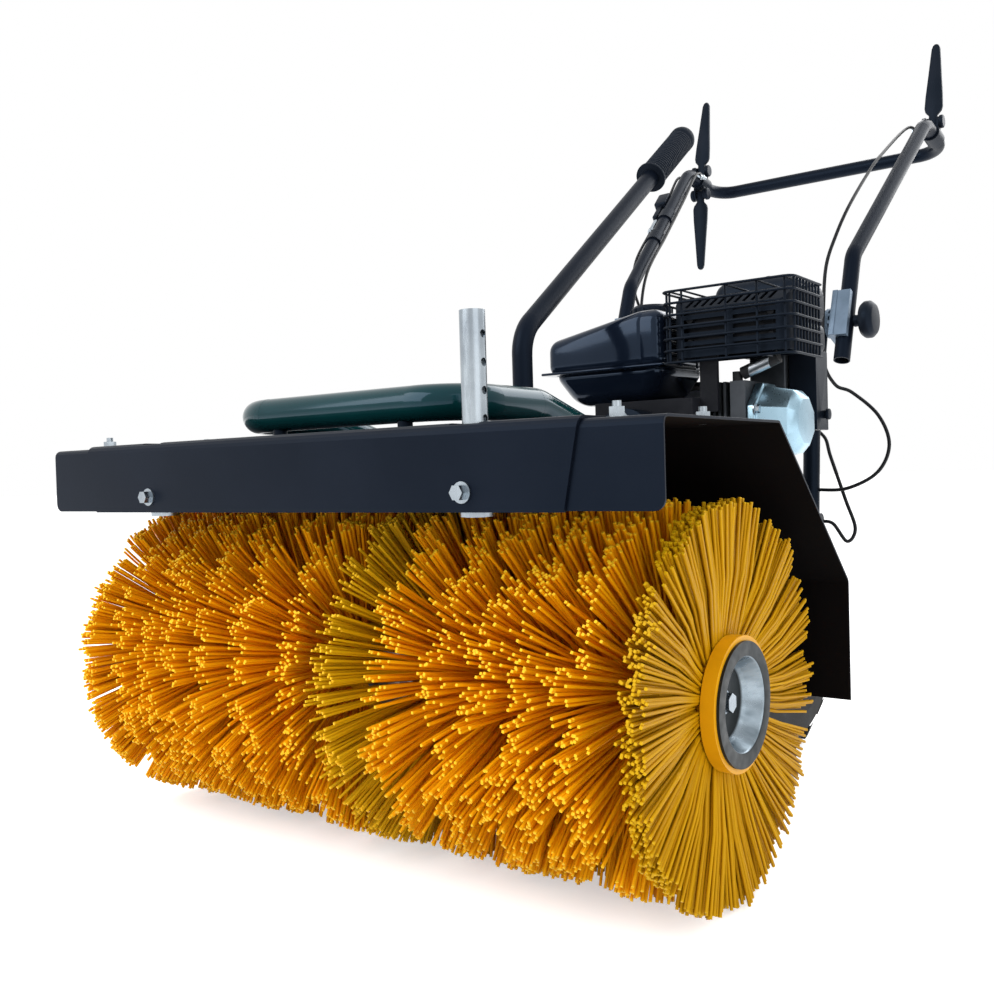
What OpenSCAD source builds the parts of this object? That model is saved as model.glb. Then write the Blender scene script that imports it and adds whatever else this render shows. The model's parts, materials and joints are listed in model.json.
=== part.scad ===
// Walk-behind power brush sweeper: swivelling brush head, wheeled engine chassis and folding handlebar.
// X runs along the brush, Y from the brush back to the handlebar, Z up. The ground is Z = 0.

/* [Brush] */
// Radius over the bristle tips
brush_r = 200; // [190:1:210]
// Half length of the brush over both halves
brush_half = 408; // [380:1:420]
// Outer radius of the plastic bristle carriers
core_r = 58; // [56:0.5:62]
// Wall of the bristle carriers
core_wall = 8; // [6:0.5:9]
// Radius of the brush shaft
shaft_r = 15; // [12:0.5:17]
// Bristle rows on each half
bristle_rows = 8; // [7:1:9]
// Bristles round each row
bristles_round = 24; // [16:4:24]
// Half thickness of one modelled bristle
bristle_half = 2.5; // [2:0.1:3]
// Radius of the bolted steel cup at each end
cup_r = 61; // [60:0.5:64]
// Depth of the steel cups
cup_depth = 36; // [28:1:44]

/* [Gearbox] */
// Module of the worm drive
gear_module = 4; // [3.6:0.1:4.2]
// Teeth on the worm wheel
wheel_teeth = 16; // [14:1:17]
// Pitch radius of the worm
worm_pitch_r = 15; // [14:0.5:17]
// Radius of the input shaft
input_r = 8; // [7:0.5:9]
// Wall of the gearbox case
case_wall = 5; // [4:0.5:7]
// Thickness of the beam between the brush halves
beam_w = 24; // [22:1:26]

/* [Hood] */
// Half width of the hood
hood_half = 432; // [425:1:450]
// Sheet thickness of the hood
sheet = 2.5; // [2:0.1:4]
// Height of the hood top above the brush axis
hood_rise = 272; // [262:1:285]
// Brush axis to the outer face of the front lip
hood_front = 203; // [190:1:215]
// Height of the front lip
lip_h = 77; // [65:1:80]
// Brush axis to the rear end of the flat top
hood_flat = 40; // [20:1:60]
// Brush axis to the outer face of the rear wall
hood_back = 238; // [230:1:242]
// Drop of the slanted panel
slant_drop = 175; // [150:1:180]
// Height of the rear wall
back_h = 136; // [110:1:145]
// Radius of the folds
fold_r = 8; // [5:0.5:12]
// Half length of the front plate at its top edge
plate_half = 355; // [320:1:380]
// How much shorter the plate is at its bottom edge
plate_slant = 16; // [5:1:30]
// Thickness of the front plate
plate_t = 3; // [2:0.1:5]
// Depth of the front plate's top flange
plate_flange = 42; // [38:1:60]

/* [Support post] */
// Radius of the support post
post_r = 12; // [10:0.5:14]
// Length of the support post
post_len = 188; // [180:1:240]
// Wall of the post tube
post_wall = 1.8; // [1.5:0.1:4]
// Distance of the posts from the middle
post_x = 232; // [200:1:260]
// Height of the post above the hood
post_rise = 105; // [80:1:110]
// Radius of the locking holes
lock_r = 3.8; // [3:0.1:5]
// Spacing of the locking holes
lock_pitch = 25.5; // [20:0.5:28]
// Wall of the post sockets
socket_wall = 4; // [3:0.5:6]
// Length of the post sockets
socket_len = 74; // [60:1:76]

/* [Carrier hoop and tiller] */
// Radius of the hoop tube
hoop_r = 19; // [16:0.5:20]
// Wall of the hoop tube
hoop_wall = 2.5; // [2:0.1:4]
// Distance of the hoop legs from the middle
hoop_half = 165; // [140:1:180]
// Brush axis to the front run of the hoop
hoop_front = 125; // [95:1:135]
// Height of the hoop above the hood
hoop_rise = 30; // [29:0.5:40]
// Radius of the tiller tube
tiller_r = 14; // [12:0.5:16]
// Wall of the tiller tube
tiller_wall = 2; // [1.5:0.1:4]
// Height of the tiller's bend above the hood
tiller_rise = 145; // [130:1:180]
// Length of the sloping run of the tiller
tiller_len = 636; // [560:1:680]
// Slope of the tiller above level
tiller_slope = 37.2; // [36:0.1:50]
// Outer radius of the tiller grip
grip_r = 22; // [20:0.5:25]
// Length of the tiller grip
grip_len = 160; // [110:1:180]

/* [Chassis] */
// Radius of the wheels
wheel_r = 200; // [185:1:205]
// Width of the tyres
wheel_w = 95; // [80:1:100]
// Distance of the wheel centres from the middle
track_half = 207; // [204:1:225]
// Brush axis to the wheel axle
wheelbase = 555; // [545:1:575]
// Height of the engine deck
deck_z = 358; // [350:1:375]
// Half width of the engine deck
deck_half = 145; // [130:1:148]
// Thickness of the engine deck
deck_t = 8; // [5:0.5:10]
// Brush axis to the swivel axis
swivel_y = 295; // [293:1:300]
// Radius of the swivel pins
king_r = 10; // [8:0.5:14]
// Radius of the axle shafts
axle_r = 12.5; // [10:0.5:16]
// Radius of the frame tubes
frame_r = 14; // [12:0.5:15]

/* [Engine] */
// Distance of the crankshaft from the middle
crank_x = 95; // [85:1:105]
// Height of the crankshaft above the deck
crank_rise = 106; // [100:1:110]
// Brush axis to the front face of the crankcase
engine_y = 372; // [370:1:385]
// Radius of the crankshaft
crank_r = 12.5; // [10:0.5:13]
// Outer radius of the driving pulley
small_pulley_r = 36; // [32:1:38]
// Outer radius of the driven pulley
large_pulley_r = 45; // [40:1:47]
// Height of the silencer's underside above the deck
silencer_rise = 232; // [228:1:250]
// Width of the heat shield
shield_w = 164; // [150:1:166]
// Height of the heat shield
shield_h = 84; // [70:1:85]
// Depth of the heat shield
shield_d = 80; // [70:1:82]
// Length of the fuel tank
tank_w = 197; // [170:1:200]
// Depth of the fuel tank
tank_d = 172; // [140:1:175]
// Height of the fuel tank
tank_h = 133; // [115:1:140]

/* [Handlebar] */
// Radius of the handlebar tube
bar_r = 14; // [12:0.5:15]
// Wall of the handlebar tube
bar_wall = 2; // [1.5:0.1:4]
// Distance of the lower arms from the middle
bar_low = 225; // [220:1:240]
// Distance of the hand rails from the middle
bar_top = 262; // [250:1:290]
// Brush axis to the tilt axis
tilt_y = 893; // [885:1:910]
// Height of the tilt axis
tilt_z = 675; // [660:1:690]
// Length of the arms below the tilt axis
arm_tail = 74; // [60:1:90]
// Length of the arms from the tilt axis to the bend
arm_low = 131; // [120:1:150]
// Lean of the lower arms from upright
arm_lean = 21; // [15:0.5:25]
// Length of the hand rails
rail_len = 151; // [145:1:180]
// Fall of the hand rails towards the back
rail_fall = 7.6; // [4:0.1:10]
// Length of the control levers
lever_len = 178; // [150:1:190]
// Radius of the clamp knobs
knob_r = 32; // [25:0.5:35]
// Outer radius of the control cables
cable_r = 3; // [2:0.1:3.5]

/* [Hidden] */
$fn = 40;
// Gap of a running fit, of neighbours that move past each other, and of a seated bore
run = 0.05;
gap = 0.3;
seat = 0.02;

// Heights and places of the head
axis_z = brush_r;
hood_top = axis_z + hood_rise;
lip_bottom = hood_top - lip_h;
slant_z = hood_top - slant_drop;
post_bore = post_r + gap;
socket_r = post_bore + socket_wall;
post_y = sheet + socket_r - hood_front;
socket_top = hood_top - fold_r - 0.5;
bolt_r = 4;
bolt_z = lip_bottom + 17;
bolt_head = 8;
washer_t = 2;
hoop_z = hood_top + hoop_rise;
hoop_bolt_x = hoop_half - 70;
yoke_z = hood_top - 36;
yoke_h = 40;
yoke_t = 16;
web_t = 8;
web_half = 60;

// Gear sizes
gear_r = gear_module * wheel_teeth / 2;
gear_tip = gear_r + 0.65 * gear_module;
gear_root = gear_r - 1.1 * gear_module;
worm_tip = worm_pitch_r + 0.65 * gear_module;
worm_root = worm_pitch_r - 1.1 * gear_module;
worm_pitch = PI * gear_module;
worm_turns = 4;
input_z = axis_z + gear_r + worm_pitch_r;
gear_half = 9;
case_half = gear_half + 6 + case_wall;
box_half = worm_tip + 3 + case_wall;
box_len = worm_turns * worm_pitch / 2 + 10 + case_wall;

// Places along the brush shaft
core_in = core_r - core_wall;
core_start = 44;
cup_floor = brush_half - cup_depth;
cup_t = 3;
hub_t = 8;
flange_w = 14;
flange_r = cup_r + 5;

// Places of the chassis
axle_z = wheel_r;
deck_low = deck_z - deck_t;
deck_front = swivel_y + 17;
deck_back = wheelbase + 145;
nose_r = 35;
nose_z = 172;
plate_z = nose_z + 8;
lug_t = 10;
bulkhead_y = engine_y + 10;
rail_x = deck_half - 5;
rail_w = 30;
rail_h = 40;
frame_back = tilt_y - 67;
frame_z = deck_low - 20;
upright_x = bar_low - 45;
boss_half = frame_r + 1;
pulley_y = engine_y - 26;
pulley_w = 20;
belt_t = 8;
belt_w = 10;

// Places of the engine
tyre_clear = 10;
shoulder_h = 52;
engine_z = max(deck_z, 2 * wheel_r + tyre_clear - shoulder_h);
crank_z = engine_z + crank_rise;
block_left = crank_x - 70;
block_right = crank_x + 85;
block_low = track_half - wheel_w / 2 - 6;
shoulder_z = engine_z + shoulder_h;
block_d = 188;
block_top = engine_z + 167;
block_back = engine_y + block_d;
bore_y = engine_y + 98;
bore_z = engine_z + 130;
fin_half = 58;
head_x = block_right + 60;
shield_x = block_right - 30;
shield_y = engine_y + 8;
shield_z = engine_z + silencer_rise - 10;
shield_t = 2;
cage_gap = 14;
wire = 3.5;
tank_gap = 6;
tank_x = shield_x - cage_gap - tank_gap - tank_w;
tank_y = engine_y + 8;
tank_z = block_top;
cap_x = tank_x + tank_w * 0.66;
cap_y = tank_y + tank_d * 0.6;
cap_z = tank_z + tank_h + 3;
cap_r = 30;
cleaner_z = shield_z + 12;
cleaner_x = shield_x + 10;
cleaner_y = shield_y + shield_d + cage_gap + 8;
recoil_r = 98;
recoil_d = 124;

// Places of the handlebar, in its own plane
arm_dir = [0, sin(arm_lean), cos(arm_lean)];
bar_end = [bar_low, tilt_y, tilt_z] - arm_tail * arm_dir;
bar_bend = [bar_low, tilt_y, tilt_z] + arm_low * arm_dir;
rail_start = [bar_top, tilt_y + 407, tilt_z + 437];
rail_dir = [0, cos(rail_fall), -sin(rail_fall)];
rail_end = rail_start + rail_len * rail_dir;
lever_at = rail_start + rail_len * 0.43 * rail_dir;
pin_r = 3;
pin_rise = bar_r + 14;
lever_half = 8.7;
knob_x = bar_low + bar_r + 0.5;
tilt_r = 6;
stud_r = tilt_r - 1;
stud_floor = 3;
clamp_in = upright_x + boss_half + 9 + gap;

// The origin lies under the middle of the whole machine
front_reach = hood_front + plate_t + washer_t + bolt_head;
back_reach = rail_end[1] + bar_r;
brush_y = (front_reach - back_reach) / 2;

// Tiller places, at the middle of the machine
tiller_y = hood_back - 12;
tiller_knee = [0, tiller_y, hood_top + tiller_rise];
tiller_dir = [0, cos(tiller_slope), sin(tiller_slope)];
tiller_end = tiller_knee + tiller_len * tiller_dir;
tiller_foot = [0, tiller_y, yoke_z - 38];

// Cable routes, from the levers down to the chassis
cable_off = 23;
sleeve_off = bar_r + 4 + cable_r + 0.2;
clip_y = rail_start[1] + 40;
clip_z = rail_start[2] - 5;
function arm_at(t, dx) = bar_bend + t * (rail_start - bar_bend) + [dx, 0, 0];
function upright_at(dx, dy, dz) = [upright_x + dx, frame_back + dy, deck_z + dz];
function tilt_at(dx, dy, dz) = [bar_low + dx, tilt_y + dy, tilt_z + dz];
right_route = [
    [bar_top - sleeve_off, clip_y, clip_z], [bar_top - 29, clip_y - 58, clip_z - 1],
    tilt_at(3, 225, 342), tilt_at(-3, 155, 292), tilt_at(-10, 62, 215), tilt_at(-20, 18, 157),
    tilt_at(-28, -13, 100), tilt_at(-29, -28, 30), tilt_at(-26, -44, -65), upright_at(40, 18, 206),
    upright_at(70, 14, 190), upright_at(114, 9, 149), upright_at(132, 5, 99), upright_at(112, 5, 54),
    upright_at(62, 4, 28), upright_at(frame_r + 0.4, 4, 26)
];
left_route = [
    mirrored([bar_top + sleeve_off, clip_y, clip_z]),
    mirrored([bar_top + cable_off, clip_y - 48, clip_z - 2]),
    mirrored(arm_at(0.8, cable_off)), mirrored(arm_at(0.5, cable_off)), mirrored(arm_at(0.22, cable_off - 2)),
    mirrored(tilt_at(15, 92, 125)), mirrored(tilt_at(-11, 72, 65)), mirrored(tilt_at(-25, 52, -25)),
    mirrored(upright_at(-40, 70, 185)), [0, frame_back + 42, deck_z + 147], upright_at(-30, 40, 137),
    upright_at(10, 40, 120), upright_at(28, 24, 82), upright_at(54, 16, 10), upright_at(72, 10, -40),
    upright_at(60, 3, -62), upright_at(38, 0, -32), upright_at(frame_r + 4.7, 0, -28)
];
lock_route = [
    mirrored([bar_top - sleeve_off, clip_y, clip_z]),
    mirrored([bar_top - cable_off, clip_y - 48, clip_z - 2]),
    mirrored(arm_at(0.72, -cable_off)), mirrored(arm_at(0.4, -cable_off)), mirrored(arm_at(0.1, -cable_off)),
    mirrored(tilt_at(-29, 36, 60)), mirrored(tilt_at(-37, 42, -20)), mirrored(upright_at(-16, 58, 182)),
    mirrored(upright_at(-40, -6, 82)), [-110, deck_back + 40, deck_z + 22],
    [-84, wheelbase + 85, deck_z + 13],
    [-72, wheelbase - 60, deck_z + 7], [-52, deck_front + 40, deck_z + cable_r + 0.3]
];

// Colours
black = "#1d2126";
plastic = "#26292d";
zinc = "#b9bec3";
alloy = "#c9cdd0";
teal = "#0d4a44";
yellow = "#e8a514";
rubber = "#1a1a1b";

function unit(v) = v / norm(v);
function side_axis(d) = unit(cross(abs(d[2]) < 0.9 ? [0, 0, 1] : [1, 0, 0], d));
function mirrored(p) = [-p[0], p[1], p[2]];

// Moves the whole machine so that the origin is under its middle
module place() {
    translate([0, brush_y, 0]) children();
}

// Draws the children on both sides of the middle
module both_sides() {
    children();
    mirror([1, 0, 0]) children();
}

// Stands the children's frame on a point with the three given axes
module frame_at(o, x, y, z) {
    multmatrix([
        [x[0], y[0], z[0], o[0]],
        [x[1], y[1], z[1], o[1]],
        [x[2], y[2], z[2], o[2]],
        [0, 0, 0, 1]
    ]) children();
}

// Points the children's Z from a to b
module towards(a, b) {
    d = unit(b - a);
    s = side_axis(d);
    frame_at(a, s, cross(d, s), d) children();
}

module rod(a, b, r) {
    towards(a, b) cylinder(h = norm(b - a), r = r);
}

// Cylinders along X, Y and Z from a start point
module rod_x(p, h, r) {
    translate(p) rotate([0, 90, 0]) cylinder(h = h, r = r);
}

module rod_y(p, h, r) {
    translate(p) rotate([-90, 0, 0]) cylinder(h = h, r = r);
}

module rod_z(p, h, r) {
    translate(p) cylinder(h = h, r = r);
}

module box(low, high) {
    translate(low) cube(high - low);
}

// Round bar through the points, with true bends at the inner ones
function bend_tan(p, i, b) = b * tan(acos(unit(p[i] - p[i - 1]) * unit(p[i + 1] - p[i])) / 2);
function run_start(p, i, b) = i == 0 ? p[0] : p[i] + bend_tan(p, i, b) * unit(p[i + 1] - p[i]);
function run_end(p, i, b) =
    i == len(p) - 2 ? p[i + 1] : p[i + 1] - bend_tan(p, i + 1, b) * unit(p[i + 1] - p[i]);

// The straight runs reach a little way into the bends, which are a hair thicker, so that they join cleanly
lap = 0.5;
bend_swell = 0.1;

module bent_rod(p, bend, r, reach) {
    last = len(p) - 2;
    for (i = [0 : last]) {
        d = unit(p[i + 1] - p[i]);
        a = run_start(p, i, bend) - (i == 0 ? reach : lap) * d;
        b = run_end(p, i, bend) + (i == last ? reach : lap) * d;
        rod(a, b, r);
    }
    for (i = [1 : last]) {
        d = unit(p[i] - p[i - 1]);
        e = unit(p[i + 1] - p[i]);
        n = unit(e - d * (d * e));
        start = p[i] - bend_tan(p, i, bend) * d;
        frame_at(start + bend * n, -n, d, cross(-n, d))
            rotate_extrude(angle = acos(d * e)) translate([bend, 0]) circle(r + bend_swell);
    }
}

module bent_tube(p, bend, r, wall) {
    difference() {
        bent_rod(p, bend, r, 0);
        bent_rod(p, bend, r - wall, 1);
    }
}

// Sheet metal strip that follows the points, thickness to the left of the way
function left_of(d) = [-d[1], d[0]];
function mitre(p, i) =
    i == 0 ? left_of(unit(p[1] - p[0]))
    : i == len(p) - 1 ? left_of(unit(p[i] - p[i - 1]))
    : let (m = left_of(unit(p[i] - p[i - 1])), n = left_of(unit(p[i + 1] - p[i])))
        (m + n) / (1 + m * n);
function strip(p, t) = concat(
    p,
    [for (i = [len(p) - 1 : -1 : 0]) p[i] + t * mitre(p, i)]
);

// Outline with each inner corner turned into an arc of a few points
fold_steps = 4;
function rounded(p, r) = [
    for (i = [0 : len(p) - 1])
        if (i == 0 || i == len(p) - 1) p[i]
        else let (
            d = unit(p[i] - p[i - 1]),
            e = unit(p[i + 1] - p[i]),
            t = acos(d * e),
            k = r * tan(t / 2),
            s = sign(d[0] * e[1] - d[1] * e[0]),
            c = p[i] - k * d + s * r * left_of(d)
        )
        for (j = [0 : fold_steps])
            let (a = s * t * j / fold_steps, v = -s * r * left_of(d))
            c + [v[0] * cos(a) - v[1] * sin(a), v[0] * sin(a) + v[1] * cos(a)]
];

// Extrudes a Y-Z outline along X, centred on the middle
module across(half) {
    rotate([90, 0, 90]) translate([0, 0, -half]) linear_extrude(2 * half) children();
}

// Extrudes an X-Z outline along Y
module along_y(y, d) {
    translate([0, y + d, 0]) rotate([90, 0, 0]) linear_extrude(d) children();
}

// Two discs joined by their outer tangents, standing in the X-Z plane
module belt_block(p, pr, q, qr, y, w) {
    d = unit(q - p);
    a = acos((pr - qr) / norm(q - p));
    u = [d[0] * cos(a) - d[1] * sin(a), d[0] * sin(a) + d[1] * cos(a)];
    v = [d[0] * cos(a) + d[1] * sin(a), -d[0] * sin(a) + d[1] * cos(a)];
    shy = 0.05;
    rod_y([p[0], y, p[1]], w, pr);
    rod_y([q[0], y, q[1]], w, qr);
    along_y(y, w)
        polygon([p + (pr - shy) * u, q + (qr - shy) * u, q + (qr - shy) * v, p + (pr - shy) * v]);
}

module round_rect(w, d, r) {
    translate([r, 0]) square([w - 2 * r, d]);
    translate([0, r]) square([w, d - 2 * r]);
    for (x = [r, w - r], y = [r, d - r]) translate([x, y]) circle(r);
}

module hex_bolt(across_flats, head, shank_r, shank_len) {
    cylinder(h = head, r = across_flats / sqrt(3), $fn = 6);
    translate([0, 0, -shank_len]) cylinder(h = shank_len, r = shank_r);
}

// Flanged hexagon bolt standing on Z = 0, with its shank below
module flange_bolt(shank_len) {
    cylinder(h = washer_t, r = 2.5 * bolt_r);
    translate([0, 0, washer_t]) hex_bolt(3.25 * bolt_r, bolt_head, bolt_r, washer_t + shank_len);
}

// Head: hood and its fittings
hood_path = [
    [-hood_front, lip_bottom], [-hood_front, hood_top], [hood_flat, hood_top],
    [hood_back, slant_z], [hood_back, slant_z - back_h]
];
corner_r = 10;
stud_places = [[plate_half + 14, -165], [plate_half + 20, -10]];
drive_slot = web_half - 20;

module lip_corner() {
    translate([hood_half - corner_r, -hood_front - 1, lip_bottom - 1]) difference() {
        cube([corner_r + 1, sheet + 2, corner_r + 1]);
        rod_y([0, -1, corner_r + 1], sheet + 4, corner_r);
    }
}

module hood() {
    color(black) place() difference() {
        across(hood_half) polygon(strip(rounded(hood_path, fold_r), -sheet));
        both_sides() {
            lip_corner();
            rod_z([post_x, post_y, hood_top - 20], 40, post_bore + 0.5);
            rod_y([post_x, -hood_front - 1, bolt_z], sheet + 2, bolt_r + gap);
            rod_z([hoop_bolt_x, -hoop_front, hood_top - 20], 40, bolt_r + gap);
            for (s = stud_places) rod_z([s[0], s[1], hood_top - 20], 40, bolt_r + gap);
        }
        box([-drive_slot, hood_back - sheet - 1, slant_z - back_h - 1],
            [drive_slot, hood_back + 1, input_z + 40]);
    }
}

plate_path = [
    [-hood_front - plate_t, lip_bottom - 1], [-hood_front - plate_t, hood_top + plate_t],
    [plate_flange - hood_front, hood_top + plate_t]
];
notch_half = socket_r + 1;

module front_plate() {
    color(black) place() difference() {
        intersection() {
            across(plate_half) polygon(strip(rounded(plate_path, fold_r + plate_t - 1), -plate_t));
            along_y(-hood_front - 20, plate_flange + 40) polygon([
                [-plate_half, hood_top + 20], [plate_half, hood_top + 20],
                [plate_half, hood_top], [plate_half - plate_slant, lip_bottom - 2],
                [plate_slant - plate_half, lip_bottom - 2], [-plate_half, hood_top]
            ]);
        }
        both_sides() {
            rod_y([post_x, -hood_front - plate_t - 1, bolt_z], plate_t + 2, bolt_r + gap);
            box([post_x - notch_half, -hood_front + 2, hood_top - 1],
                [post_x + notch_half, plate_flange - hood_front + 1, hood_top + plate_t + 1]);
        }
    }
}

module hood_bolts() {
    color(zinc) place() both_sides() {
        translate([post_x, -hood_front - plate_t, bolt_z]) rotate([90, 0, 0])
            flange_bolt(post_y - post_bore + hood_front + plate_t - gap);
        for (s = stud_places) translate([s[0], s[1], hood_top]) {
            flange_bolt(sheet);
            translate([0, 0, washer_t + bolt_head]) cylinder(h = 5, r = bolt_r);
        }
    }
}

module post_sockets() {
    color(zinc) place() both_sides() difference() {
        rod_z([post_x, post_y, socket_top - socket_len], socket_len, socket_r);
        rod_z([post_x, post_y, socket_top - socket_len - 1], socket_len + 2, post_bore);
        rod_y([post_x, post_y - socket_r - 1, bolt_z], socket_r + 1, bolt_r + gap);
    }
}

module support_post() {
    color(zinc) place() translate([post_x, post_y, hood_top + post_rise - post_len]) difference() {
        cylinder(h = post_len, r = post_r);
        translate([0, 0, -1]) cylinder(h = post_len + 2, r = post_r - post_wall);
        for (z = [lock_pitch / 2 : lock_pitch : post_len - 8])
            rod_x([-post_r - 1, 0, z], 2 * post_r + 2, lock_r);
    }
}

// Head: hoop, tiller and the frame that swivels
hoop_bend = 55;
hoop_fall = [hoop_half, hood_flat - 28, hoop_z];
hoop_foot = [hoop_half, hood_back + 2, yoke_z];
hoop_corner = [hoop_half, -hoop_front, hoop_z];

module carrier_hoop() {
    color(teal) place() difference() {
        bent_tube([
            mirrored(hoop_foot), mirrored(hoop_fall), mirrored(hoop_corner),
            hoop_corner, hoop_fall, hoop_foot
        ], hoop_bend, hoop_r, hoop_wall);
        both_sides() rod_z([hoop_bolt_x, -hoop_front, hoop_z - 2 * hoop_r], 2 * hoop_r, bolt_r + gap);
        box([-hood_half, hood_back, yoke_z - 60], [hood_half, hood_back + 40, yoke_z + 60]);
    }
}

module hoop_bolts() {
    color(black) place() both_sides() translate([hoop_bolt_x, -hoop_front, hoop_z]) {
        translate([0, 0, -hoop_rise - sheet]) rotate([180, 0, 0])
            flange_bolt(hoop_rise + sheet - hoop_r + hoop_wall + 8);
        difference() {
            rod_z([0, 0, -hoop_rise], hoop_rise, 2 * bolt_r);
            rod_x([-20, 0, 0], 40, hoop_r);
        }
    }
}

module swivel_yoke() {
    web_y = hood_back + web_t;
    top_lug = deck_low - gap;
    low_lug = plate_z + gap;
    color(black) place() difference() {
        union() {
            box([-hoop_half - hoop_r, hood_back, yoke_z - yoke_h / 2],
                [hoop_half + hoop_r, hood_back + yoke_t, yoke_z + yoke_h / 2]);
            box([-web_half, hood_back, low_lug], [web_half, web_y, yoke_z]);
            for (z = [low_lug, top_lug - lug_t]) {
                box([-nose_r + 5, web_y - 1, z], [nose_r - 5, swivel_y, z + lug_t]);
                rod_z([0, swivel_y, z], lug_t, nose_r - 5);
            }
            rod_z([0, swivel_y, top_lug - 1], deck_t + gap + 7, king_r);
            rod_z([0, swivel_y, nose_z - 6], plate_z - nose_z + gap + 7, king_r);
            rod_y([0, hood_back, input_z], 30, input_r + 10);
            rod_z([tiller_foot[0], tiller_foot[1], tiller_foot[2]], 60, tiller_r + 5);
        }
        rod_y([0, hood_back - 1, input_z], 60, input_r + run);
        rod_z([0, tiller_y, tiller_foot[2] - 1], 100, tiller_r + seat);
    }
}

tiller_bend = 60;

module tiller_tube() {
    color(black) place()
        bent_tube([tiller_foot, tiller_knee, tiller_end], tiller_bend, tiller_r, tiller_wall);
}

module tiller_grip() {
    cap = 5;
    color(rubber) place() towards(tiller_end - (grip_len - cap) * tiller_dir, tiller_end) difference() {
        union() {
            cylinder(h = grip_len - 6, r = grip_r);
            cylinder(h = 6, r = grip_r + 3);
            translate([0, 0, grip_len - 6]) cylinder(h = 6, r1 = grip_r, r2 = grip_r - 5);
        }
        translate([0, 0, -1]) cylinder(h = grip_len - cap + 1, r = tiller_r + seat);
    }
}

// Head: worm gearbox between the brush halves
module gearbox_case() {
    difference() {
        union() {
            rod_x([-case_half, 0, axis_z], 2 * case_half, gear_tip + 3 + case_wall);
            box([-box_half, -box_len, axis_z], [box_half, box_len, input_z + box_half]);
        }
        rod_x([case_wall - case_half, 0, axis_z], 2 * (case_half - case_wall), gear_tip + 3);
        box([case_wall - box_half, case_wall - box_len, axis_z],
            [box_half - case_wall, box_len - case_wall, input_z + box_half - case_wall]);
        rod_x([-box_half - 1, 0, axis_z], 2 * box_half + 2, shaft_r + run);
        rod_y([0, 1 - box_len, input_z], 2 * box_len, input_r + run);
    }
}

module gearbox_left() {
    color(alloy) place() intersection() {
        gearbox_case();
        box([-100, -200, 0], [0, 200, hood_top]);
    }
}

module gearbox_right() {
    color(alloy) place() intersection() {
        gearbox_case();
        box([0, -200, 0], [100, 200, hood_top]);
    }
}

module gearbox_beam() {
    color(black) place() difference() {
        box([-beam_w / 2, box_len, input_z - 28], [beam_w / 2, hood_back, input_z + 28]);
        rod_y([0, box_len - 1, input_z], hood_back, input_r + 1);
    }
}

// Single start worm: a cam outline drawn out along its twist
worm_points = 16;
function worm_r_at(a) = let (d = abs(a - 180))
    d < 40 ? worm_tip : d > 95 ? worm_root : worm_tip - (worm_tip - worm_root) * (d - 40) / 55;

module worm() {
    h = worm_turns * worm_pitch;
    rotate(90) linear_extrude(h, center = true, twist = -360 * worm_turns, slices = 8 * worm_turns)
        polygon([
            for (i = [0 : worm_points - 1])
                let (a = 360 * i / worm_points)
                worm_r_at(a) * [cos(a), sin(a)]
        ]);
}

module input_shaft() {
    color(zinc) place() {
        rod_y([0, 2 - box_len, input_z], pulley_y + pulley_w / 2 + 2 + box_len, input_r);
        translate([0, 0, input_z]) rotate([-90, 0, 0]) worm();
    }
}

// Pulley with one V groove, its middle on Y = 0
module pulley(r, bore) {
    rotate([-90, 0, 0]) rotate_extrude() polygon([
        [bore, -pulley_w / 2], [r, -pulley_w / 2], [r, -belt_w / 2 - 1.5],
        [r - belt_t - 2, -belt_w / 2 - 0.5],
        [r - belt_t - 2, belt_w / 2 + 0.5], [r, belt_w / 2 + 1.5], [r, pulley_w / 2], [bore, pulley_w / 2]
    ]);
}

module input_pulley() {
    color(zinc) place() translate([0, pulley_y, input_z]) pulley(large_pulley_r, input_r + seat);
}

// Brush
tooth_tip = 0.10 * worm_pitch;
tooth_root = 0.25 * worm_pitch;

module worm_wheel() {
    color("#b08d4a") place() translate([-gear_half, 0, axis_z]) rotate([90, 0, 90])
        linear_extrude(2 * gear_half) difference() {
            union() {
                circle(gear_root);
                for (i = [0 : wheel_teeth - 1]) rotate(360 * i / wheel_teeth) polygon([
                    [-tooth_root, gear_root - 2], [tooth_root, gear_root - 2],
                    [tooth_tip, gear_tip], [-tooth_tip, gear_tip]
                ]);
            }
            circle(shaft_r + seat);
        }
}

module brush_shaft() {
    color(zinc) place() difference() {
        union() {
            rod_x([-cup_floor, 0, axis_z], 2 * cup_floor, shaft_r);
            both_sides() rod_x([core_start, 0, axis_z], hub_t, core_in - seat);
        }
        both_sides() rod_x([cup_floor - 26, 0, axis_z], 27, 5 + seat);
    }
}

module bristle_carriers() {
    color(yellow) place() both_sides() difference() {
        union() {
            rod_x([core_start, 0, axis_z], brush_half - cup_t - core_start, core_r);
            rod_x([brush_half - cup_t - flange_w, 0, axis_z], flange_w, flange_r);
        }
        rod_x([core_start - 1, 0, axis_z], brush_half, core_in);
    }
}

// Bristles of one half: strands drawn out of the cells of a thin sleeve, as one closed surface
cell = 360 / bristles_round;
sleeve_in = (core_r + 0.2) / cos(cell / 2);
sleeve_out = sleeve_in + 4;
row_start = core_start + 2;
row_pitch = (brush_half - cup_t - flange_w - gap - row_start) / bristle_rows;
tip_clear = beam_w / 2 + 6 + bristle_half;
lean_in = row_start + row_pitch / 2 - tip_clear;
lean_out = flange_w - 4;

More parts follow.
